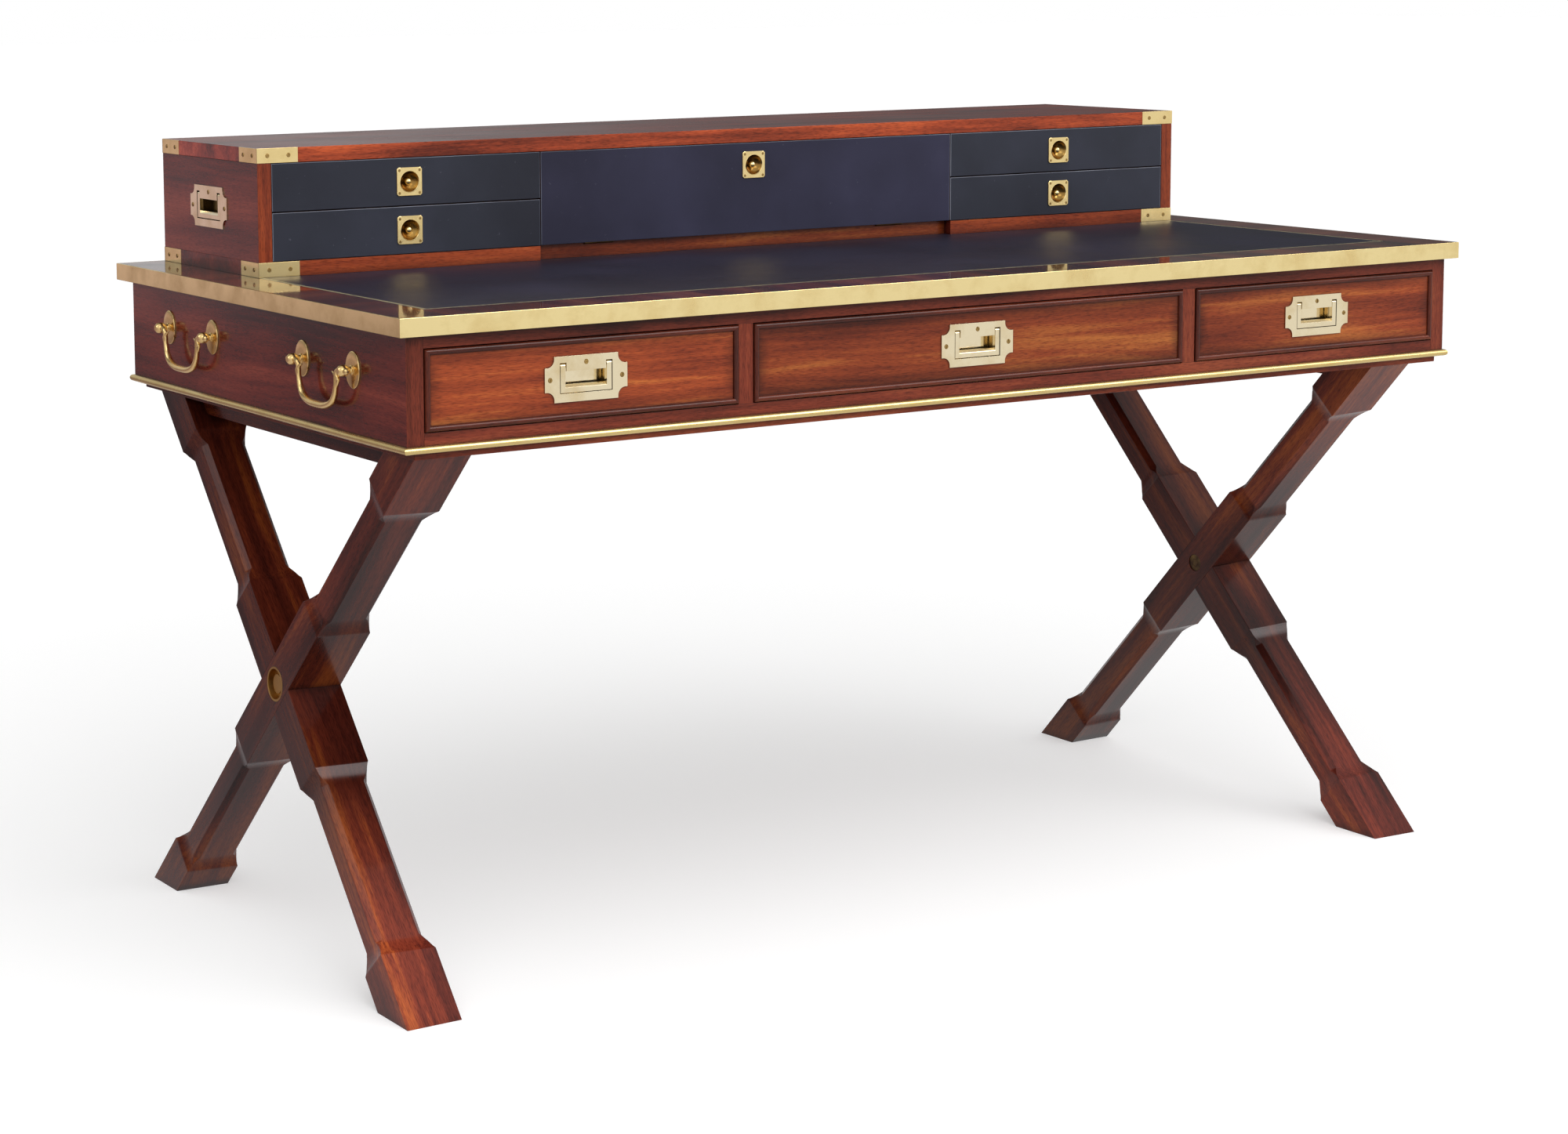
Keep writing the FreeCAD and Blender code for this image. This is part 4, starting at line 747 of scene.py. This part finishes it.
for sx in (-1, 1):
    x0, x1 = sorted((sx * 304.5, sx * 314.5))
    plank(boards, (x0, BAY_FRONT, GALLERY[1]), (x1, GALLERY_BACK, GALLERY[2]), "y")
    x0, x1 = sorted((sx * 314.5, sx * GALLERY_X[0]))
    plank(boards, (x0, BAY_FRONT, 833.75), (x1, GALLERY_BACK, 839.75), "x")
piece("gallery_dividers_and_shelves", boards, waxed_lining, "gallery", ["gallery_dividers"])
# The hollows behind the gallery handles' bails are painted dark brass, for the shade inside them
recess_brass = polished_brass("Brass recess, painted dark for shade", colour="#5d4a2c", rough=0.3)
plates = from_solid("gallery_handle_plates", 0.3)
piece(
    "gallery_flush_plates", plates, handle_brass, "gallery", ["gallery_handle_plates"],
    other=recess_brass, where=in_recess,
)
for hand in ("left", "right"):
    bail = from_solid(f"gallery_{hand}_handle_bail", 0.4)
    name = f"gallery_{hand}"
    piece(f"{name}_flush_bail", bail, handle_brass, f"{name}_bail", [f"{name}_handle_bail"])


# Brass straps wrap the eight corners of the gallery's top and bottom boards, bent from sheet and let in, each
# leaf held by two screws.
strap_brass = polished_brass("Brass sheet, bent and polished", colour="#efd699", rough=0.18)
straps = new_boards()
strap_screws = []
for z0, z1 in (GALLERY[:2], GALLERY[2:]):
    middle = (z0 + z1) / 2
    for sx in (-1, 1):
        for sy, face in ((-1, GALLERY_Y[0]), (1, GALLERY_Y[1])):
            end = sx * GALLERY_X[1]
            x = sorted((end + sx * 0.4, end - sx * 52))
            y = sorted((face + sy * 0.4, face - sy * 0.9))
            plank(straps, (x[0], y[0], z0 + 0.1), (x[1], y[1], z1 - 0.1), "x", arris=0.3)
            x = sorted((end + sx * 0.4, end - sx * 0.9))
            y = sorted((face + sy * 0.39, face - sy * 48))
            plank(straps, (x[0], y[0], z0 + 0.1), (x[1], y[1], z1 - 0.1), "y", arris=0.3)
            for reach in (13, 40):
                strap_screws.append(((end - sx * reach, face + sy * 0.4, middle), (0, sy, 0)))
            for reach in (13, 37):
                strap_screws.append(((end + sx * 0.4, face - sy * reach, middle), (sx, 0, 0)))
piece("gallery_corner_straps", straps, strap_brass, "gallery", ["corner_straps"])


# Small drawers in the gallery: waxed boxes faced with the same navy hide, drawn by a square brass plate
# with a dished recess and a knob sunk in it.
facing_hide = pasted_hide(
    "Navy hide, pasted on drawer fronts", ((0.3, "#25262f"), (0.55, "#2c2e38"), (0.75, "#343642"))
)
# The pale hide is a painted highlight, with some wear, on the eased edges that face up or sideways
highlit_worn_hide = pasted_hide(
    "Navy hide, rubbed pale along the edge", ((0.3, "#555865"), (0.55, "#767a87"), (0.75, "#92959f"))
)


def is_edge(face):
    """The eased edges that take the painted highlight, apart from those underneath."""
    return max(abs(c) for c in face.normal) < 0.97 and face.normal.z > -0.1


def face_with_hide(name, low, high, window, finish, body, node):
    """Hide over a board, pierced for its pull, painted pale where it turns over the edge: highlight and wear."""
    boards = new_boards()
    plank(boards, low, high, "x", arris=0.7, window=window)
    piece(name, boards, finish, body, [node], highlit_worn_hide, is_edge)


# The pulls' dishes are painted darker for the shade in the hollow, over some tarnish
hollow_brass = polished_brass("Brass, tarnished and painted dark for shade in the hollow", colour="#98763f", rough=0.22)
PULL = 16.75


def square_pull(name, body, node, x, z):
    """A square plate pierced by a dished cup, with a turned knob standing in it."""
    bm = bmesh.new()
    face = GALLERY_Y[0]
    rim = []
    steps = 48
    for k in range(steps):
        turn = 2 * math.pi * (k + 0.5) / steps
        c, s = math.cos(turn), math.sin(turn)
        rim.append((c, s, 1 / max(abs(c), abs(s))))
    rows = [("round", 0.02, -8.0), ("round", 13.4, -8.0), ("round", 13.4, 0.0), ("square", PULL, 0.0)]
    rows += [("square", PULL, 1.2), ("square", 16.4, 1.5)]
    rows += [("round", 12.9, 1.5), ("round", 12.5, 1.9), ("round", 12.0, 1.5)]
    lip = len(rows) - 1
    for step in range(1, 9):
        turn = math.asin(12 / 13) * (1 - step / 8)
        rows.append(("round", 13 * math.sin(turn) + 0.02, 6.5 - 13 * math.cos(turn)))
    rings = []
    for kind, radius, out in rows:
        ring = []
        for c, s, reach in rim:
            far = radius * reach if kind == "square" else radius
            ring.append(bm.verts.new(Vector((x + c * far, face - out, z + s * far)) / 1000))
        rings.append(ring)
    for row, (a, b) in enumerate(zip(rings, rings[1:])):
        for k in range(steps):
            n = (k + 1) % steps
            bm.faces.new((a[k], a[n], b[n], b[k])).material_index = 1 if row >= lip else 0
    bm.faces.new(rings[-1]).material_index = 1
    bm.faces.new(rings[0])
    bmesh.ops.recalc_face_normals(bm, faces=bm.faces)

    def inward(u, reach, v):
        return Vector((x + u, face + reach, z + v))

    knob = [(2.0, 6.6), (1.9, 4.6)]
    for step in range(3, 11):
        turn = math.pi * step / 10
        knob.append((4.2 * math.sin(turn) + 0.01, 2.2 + 3.2 * math.cos(turn)))
    spun(bm, knob, inward, steps=24)
    piece(name, bm, strap_brass, body, [node], hollow_brass)


FACING = 95.7
FACING_BACK = 107.2
PULL_HOLE = 13.6
LINING = 8
pull_screws = {}
for hand, sx in (("left", -1), ("right", 1)):
    for row, z0, z1, low in (("lower", 780.25, 836.0, 780.0), ("upper", 837.5, 893.25, 840.25)):
        body = f"small_{hand}_{row}"
        x0, x1 = sorted((sx * 310.25, sx * 667.75))
        in0, in1 = sorted((sx * 315.25, sx * 667.75))
        middle, level = (x0 + x1) / 2, (z0 + z1) / 2
        hole = ((middle - PULL_HOLE, level - PULL_HOLE), (middle + PULL_HOLE, level + PULL_HOLE))
        boards = new_boards()
        plank(boards, (x0, FACING, z0), (x1, FACING_BACK, z1), "x", arris=0, window=(1, -1, 8.8, *hole))
        for a in (in0, in1 - LINING):
            plank(boards, (a, FACING_BACK, low), (a + LINING, 334.5, low + 48), "y")
        plank(boards, (in0 + LINING, 326.5, low), (in1 - LINING, 334.5, low + 48), "x")
        plank(boards, (in0 + LINING, FACING_BACK, low + 4), (in1 - LINING, 326.5, low + 8), "x", arris=0)
        piece(f"{body}_box", boards, waxed_lining, body, [f"{body}_drawer"])
        hole = (1, -1, None, *hole)
        corners = (x0, GALLERY_Y[0], z0), (x1, FACING, z1)
        face_with_hide(f"{body}_hide", *corners, hole, facing_hide, body, f"{body}_leather")
        square_pull(f"{body}_square_pull", body, f"{body}_pull", middle, level)
        pull_screws[body] = (middle, level)


# The fall closes the middle of the gallery: a panel faced with hide, with its own pull, that drops level on two
# brass butt hinges.
FALL_X = 308.75
FALL = (780.5, 893.25)
FALL_PULL = 865.75
hole = ((-PULL_HOLE, FALL_PULL - PULL_HOLE), (PULL_HOLE, FALL_PULL + PULL_HOLE))
boards = new_boards()
low, high = (-FALL_X, FACING, FALL[0]), (FALL_X, FACING_BACK, FALL[1])
plank(boards, low, high, "x", arris=0, window=(1, -1, 8.8, *hole))
piece("fall_board", boards, mahogany_case, "fall", ["fall_panel"])
fall_hide = pasted_hide(
    "Navy hide, pasted on the fall", ((0.3, "#272637"), (0.55, "#302f43"), (0.75, "#3a394f"))
)
corners = (-FALL_X, GALLERY_Y[0], FALL[0]), (FALL_X, FACING, FALL[1])
face_with_hide("fall_hide", *corners, (1, -1, None, *hole), fall_hide, "fall", "fall_leather")
square_pull("fall_square_pull", "fall", "fall_pull", 0.0, FALL_PULL)
pull_screws["fall"] = (0.0, FALL_PULL)
# The hinges are painted dark, for the shade in the gap under the fall
hinge_brass = polished_brass("Brass hinge, painted dark for shade", colour="#6e5632", rough=0.4)
for node, body in (("fall_hinge_fixed", "gallery"), ("fall_hinge_leaves", "fall")):
    piece(f"{node}_brass", from_solid(node, 0.15), hinge_brass, body, [node])


# Slotted brass screws hold the straps, plates and pulls, each turned to its own angle as a joiner leaves them.
screw_tree = bpy.data.node_groups.new("Slotted screws", "GeometryNodeTree")
sockets = {}
for name, kind, way in (
    ("Places", "NodeSocketGeometry", "INPUT"),
    ("Head", "NodeSocketFloat", "INPUT"),
    ("Rise", "NodeSocketFloat", "INPUT"),
    ("Finish", "NodeSocketMaterial", "INPUT"),
    ("Seed", "NodeSocketInt", "INPUT"),
    ("Screws", "NodeSocketGeometry", "OUTPUT"),
):
    sockets[name] = screw_tree.interface.new_socket(name, in_out=way, socket_type=kind).identifier
given = add(screw_tree, "NodeGroupInput").outputs
share = {}
for key, source, part in (
    ("rim", "Head", 0.5),
    ("crown", "Head", 0.42),
    ("slot_long", "Head", 1.2),
    ("slot_wide", "Head", 0.17),
    ("slot_rise", "Rise", 0.75),
):
    share[key] = add(screw_tree, "ShaderNodeMath", {0: given[source], 1: part}, operation="MULTIPLY")
cone = {"Vertices": 20, "Radius Top": share["crown"], "Radius Bottom": share["rim"], "Depth": given["Rise"]}
disc = add(screw_tree, "GeometryNodeMeshCone", cone)
slot_size = {0: share["slot_long"], 1: share["slot_wide"], 2: given["Rise"]}
slot_size = add(screw_tree, "ShaderNodeCombineXYZ", slot_size)
slot_place = add(screw_tree, "ShaderNodeCombineXYZ", {2: share["slot_rise"]})
slot_block = add(screw_tree, "GeometryNodeMeshCube", {"Size": slot_size})
slot_cut = add(screw_tree, "GeometryNodeTransform", {"Geometry": slot_block, "Translation": slot_place})
head = add(screw_tree, "GeometryNodeMeshBoolean", {"Mesh 1": disc, "Mesh 2": slot_cut}, operation="DIFFERENCE")
outward = add(screw_tree, "GeometryNodeInputNamedAttribute", {"Name": "outward"}, data_type="FLOAT_VECTOR")
facing = add(screw_tree, "FunctionNodeAlignRotationToVector", {"Vector": outward}, axis="Z")
turns = {2: 0.0, 3: math.pi, "Seed": given["Seed"]}
spin = add(screw_tree, "FunctionNodeRandomValue", turns, data_type="FLOAT").outputs[1]
twist = add(screw_tree, "FunctionNodeAxisAngleToRotation", {"Axis": (0, 0, 1), "Angle": spin})
turned = {"Rotation": facing, "Rotate By": twist}
turned = add(screw_tree, "FunctionNodeRotateRotation", turned, rotation_space="LOCAL")
set_in = {"Points": given["Places"], "Instance": head, "Rotation": turned}
set_in = add(screw_tree, "GeometryNodeInstanceOnPoints", set_in)
solid = add(screw_tree, "GeometryNodeRealizeInstances", {"Geometry": set_in})
finished = add(screw_tree, "GeometryNodeSetMaterial", {"Geometry": solid, "Material": given["Finish"]})
add(screw_tree, "NodeGroupOutput", {0: finished})
screw_brass = polished_brass("Brass screw, turned", colour="#a08350", rough=0.28)


def screws(name, places, body, head_mm, seed):
    """Sets a screw at each place, facing its way out."""
    mesh = bpy.data.meshes.new(name)
    mesh.from_pydata([Vector(place) / 1000 for place, way in places], [], [])
    ways = mesh.attributes.new("outward", "FLOAT_VECTOR", "POINT")
    for item, (place, way) in zip(ways.data, places):
        item.vector = way
    holder = bpy.data.objects.new(name, mesh)
    bpy.context.scene.collection.objects.link(holder)
    modifier = holder.modifiers.new("Screws", "NODES")
    modifier.node_group = screw_tree
    settings = {"Head": head_mm / 1000, "Rise": head_mm / 9000, "Finish": screw_brass, "Seed": seed}
    for key, value in settings.items():
        modifier[sockets[key]] = value
    made = bpy.data.meshes.new_from_object(holder.evaluated_get(bpy.context.evaluated_depsgraph_get()))
    holder.modifiers.clear()
    holder.data = made
    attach(holder, body)


screws("gallery_strap_screws", strap_screws, "gallery", 5.2, 3)
seed = 10
for body, (x, z) in pull_screws.items():
    seed += 1
    corners = [((x + a * 13.4, 93.0, z + b * 13.4), (0, -1, 0)) for a in (-1, 1) for b in (-1, 1)]
    screws(f"{body}_pull_screws", corners, body, 3.4, seed)
plate_holes = ((-44.5, 0), (44.5, 0), (0, 17.2))
for place, x in (("left", -520.5), ("centre", 0.0), ("right", 520.5)):
    seed += 1
    heads = [((x + a, FRONT - 1.5, HANDLE_LEVEL + b), (0, -1, 0)) for a, b in plate_holes]
    screws(f"frieze_{place}_plate_screws", heads, f"frieze_{place}_drawer", 5.6, seed)
heads = []
for sx in (-1, 1):
    for a, b in plate_holes:
        place = (sx * (GALLERY_X[1] + 1.5), LIFT_HANDLE[0] + a, LIFT_HANDLE[1] + b)
        heads.append((place, (sx, 0, 0)))
screws("gallery_plate_screws", heads, "gallery", 5.6, 40)


# A pale seamless floor, and the soft daylight of a white studio: bright in front and above, dimmer on the left.
floor_mesh = bpy.data.meshes.new("studio_floor")
floor_mesh.from_pydata([(-40, -40, 0), (40, -40, 0), (40, 40, 0), (-40, 40, 0)], [], [(0, 1, 2, 3)])
floor = bpy.data.objects.new("studio_floor", floor_mesh)
bpy.context.scene.collection.objects.link(floor)
floor_paint, tree = new_material("Studio floor, matt white")
seen = add(tree, "ShaderNodeLightPath")
shiny = {0: seen.outputs["Is Glossy Ray"], 1: seen.outputs["Is Transmission Ray"]}
shiny = add(tree, "ShaderNodeMath", shiny, operation="MAXIMUM")
# Seen by the camera the floor is white but for the desk's shadow; by other light it is a pale grey
chalk = add(tree, "ShaderNodeBsdfDiffuse", {"Color": linear("#d8d8d8")})
glow = add(tree, "ShaderNodeEmission", {"Strength": 0.43})
lit = add(tree, "ShaderNodeAddShader", {0: chalk, 1: glow})
plain = add(tree, "ShaderNodeBsdfDiffuse", {"Color": linear("#c6c6c6")})
pale = add(tree, "ShaderNodeMixShader", {0: seen.outputs["Is Camera Ray"], 1: plain, 2: lit})
# Mirrored in polish and brass it dims and warms away to the back on the left, and brightens again far off
spot = add(tree, "ShaderNodeNewGeometry").outputs["Position"]
behind = add(tree, "ShaderNodeVectorMath", {0: spot, 1: (-0.8, 0.6, 0.0)}, operation="DOT_PRODUCT")
behind = behind.outputs["Value"]
near_by = add(tree, "ShaderNodeMapRange", {"Value": behind, 1: 0.0, 2: 2.5, 3: 0.86, 4: 0.27})
mirrored = add(tree, "ShaderNodeMapRange", {"Value": behind, 1: 5.6, 2: 7.0, 3: near_by, 4: 0.62})
far_off = add(tree, "ShaderNodeMapRange", {"Value": behind, 1: 0.0, 2: 2.5})
warmth = {"Factor": far_off, 6: linear("#ffffff"), 7: linear("#ffe4ea")}
warmth = add(tree, "ShaderNodeMix", warmth, data_type="RGBA").outputs[2]
in_metal = add(tree, "ShaderNodeEmission", {"Color": warmth, "Strength": mirrored})
both = add(tree, "ShaderNodeMixShader", {0: shiny, 1: pale, 2: in_metal})
add(tree, "ShaderNodeOutputMaterial", {"Surface": both})
floor_mesh.materials.append(floor_paint)

world = bpy.data.worlds.new("White studio")
bpy.context.scene.world = world
world.use_nodes = True
tree = world.node_tree
tree.nodes.clear()
way = add(tree, "ShaderNodeTexCoord").outputs["Generated"]
parts = add(tree, "ShaderNodeSeparateXYZ", {0: way})
x, y, z = (parts.outputs[axis] for axis in "XYZ")
seen = add(tree, "ShaderNodeLightPath")
shiny = {0: seen.outputs["Is Glossy Ray"], 1: seen.outputs["Is Transmission Ray"]}
shiny = add(tree, "ShaderNodeMath", shiny, operation="MAXIMUM")
# Daylight on the wood: strongest high in front, weak along the left horizon
from_left = add(tree, "ShaderNodeMapRange", {"Value": x, 1: -0.8, 2: 0.2, 3: 0.14, 4: 0.17})
from_front = add(tree, "ShaderNodeMapRange", {"Value": y, 1: -0.9, 2: 0.1, 3: 0.45, 4: 0.0})
level_light = add(tree, "ShaderNodeMath", {0: from_left, 1: from_front}, operation="ADD")
high_front = add(tree, "ShaderNodeVectorMath", {0: way, 1: (0.0, -0.72, 0.69)}, operation="DOT_PRODUCT")
overhead = add(tree, "ShaderNodeMapRange", {"Value": high_front.outputs["Value"], 1: 0.4, 2: 0.9})
room = add(tree, "ShaderNodeMix", {"Factor": overhead, 2: level_light, 3: 1.96}, data_type="FLOAT")
# What the polish and the brass mirror: a bright front, a dim back, dimmest on the right, a white wall behind
# on the left, and two lamps high up
back = add(tree, "ShaderNodeMapRange", {"Value": x, 1: 0.35, 2: 0.75, 3: 0.24, 4: 0.07})
mirrored = add(tree, "ShaderNodeMapRange", {"Value": y, 1: -0.25, 2: 0.5, 3: 0.95, 4: back})
wall_height = add(tree, "ShaderNodeMapRange", {"Value": z, 1: 0.065, 2: 0.085, 3: 0.0, 4: 0.4})
wall = add(tree, "ShaderNodeMapRange", {"Value": x, 1: 0.46, 2: 0.54, 3: wall_height, 4: 0.0})
wall_behind = add(tree, "ShaderNodeMapRange", {"Value": y, 1: 0.7, 2: 0.8, 3: 0.0, 4: wall})
mirrored = add(tree, "ShaderNodeMath", {0: mirrored, 1: wall_behind}, operation="ADD")
for toward, strength in (((0.5, -0.7, 0.51), 6.0), ((-0.69, 0.0, 0.72), 1.8)):
    beam = add(tree, "ShaderNodeVectorMath", {0: way, 1: toward}, operation="DOT_PRODUCT").outputs["Value"]
    lamp = add(tree, "ShaderNodeMapRange", {"Value": beam, 1: 0.95, 2: 0.98, 3: 0.0, 4: strength})
    mirrored = add(tree, "ShaderNodeMath", {0: mirrored, 1: lamp}, operation="ADD")
unseen = add(tree, "ShaderNodeMix", {"Factor": shiny, 2: room, 3: mirrored}, data_type="FLOAT")
white = {"Factor": seen.outputs["Is Camera Ray"], 2: unseen, 3: 1.0}
white = add(tree, "ShaderNodeMix", white, data_type="FLOAT")
sky = add(tree, "ShaderNodeBackground", {"Color": (1, 1, 1, 1), "Strength": white})
add(tree, "ShaderNodeOutputWorld", {"Surface": sky})

light = bpy.data.lights.new("front_softbox", "AREA")
light.shape = "RECTANGLE"
light.size, light.size_y = 2.0, 1.2
light.energy = 14
softbox = bpy.data.objects.new("front_softbox", light)
bpy.context.scene.collection.objects.link(softbox)
softbox.location = (-1.0, -2.7, 2.4)
softbox.rotation_euler = (Vector((-0.3, -0.3, 0.6)) - softbox.location).to_track_quat("-Z", "Y").to_euler()
softbox.visible_camera = False


# The camera stands in front on the left, 1.1 m up, with a long lens. The lens axis meets the picture left of and
# above its middle, so the picture is cut from a larger frame: focal length and axis in picture points.
PICTURE = (2000, 1447)
FOCAL = 4046.7
AXIS = (649.9, 432.95)
azimuth, elevation, roll = (math.radians(a) for a in (-29.79, 6.796, -0.566))
ahead = math.cos(elevation)
forward = Vector((-math.sin(azimuth) * ahead, math.cos(azimuth) * ahead, -math.sin(elevation)))
level = forward.cross(Vector((0, 0, 1))).normalized()
above = level.cross(forward)
right = math.cos(roll) * level + math.sin(roll) * above
up = -math.sin(roll) * level + math.cos(roll) * above
camera = bpy.data.objects.new("camera", bpy.data.cameras.new("camera"))
bpy.context.scene.collection.objects.link(camera)
camera.data.sensor_width = 36.0
camera.data.lens = FOCAL / PICTURE[0] * camera.data.sensor_width
camera.data.shift_x = (PICTURE[0] / 2 - AXIS[0]) / PICTURE[0]
camera.data.shift_y = (AXIS[1] - PICTURE[1] / 2) / PICTURE[0]
camera.data.clip_end = 200
turn = Matrix((right, up, -forward)).transposed().to_4x4()
camera.matrix_world = Matrix.Translation((-2.24296, -3.20388, 1.12184)) @ turn
bpy.context.scene.camera = camera
bpy.context.scene.view_settings.view_transform = "Standard"
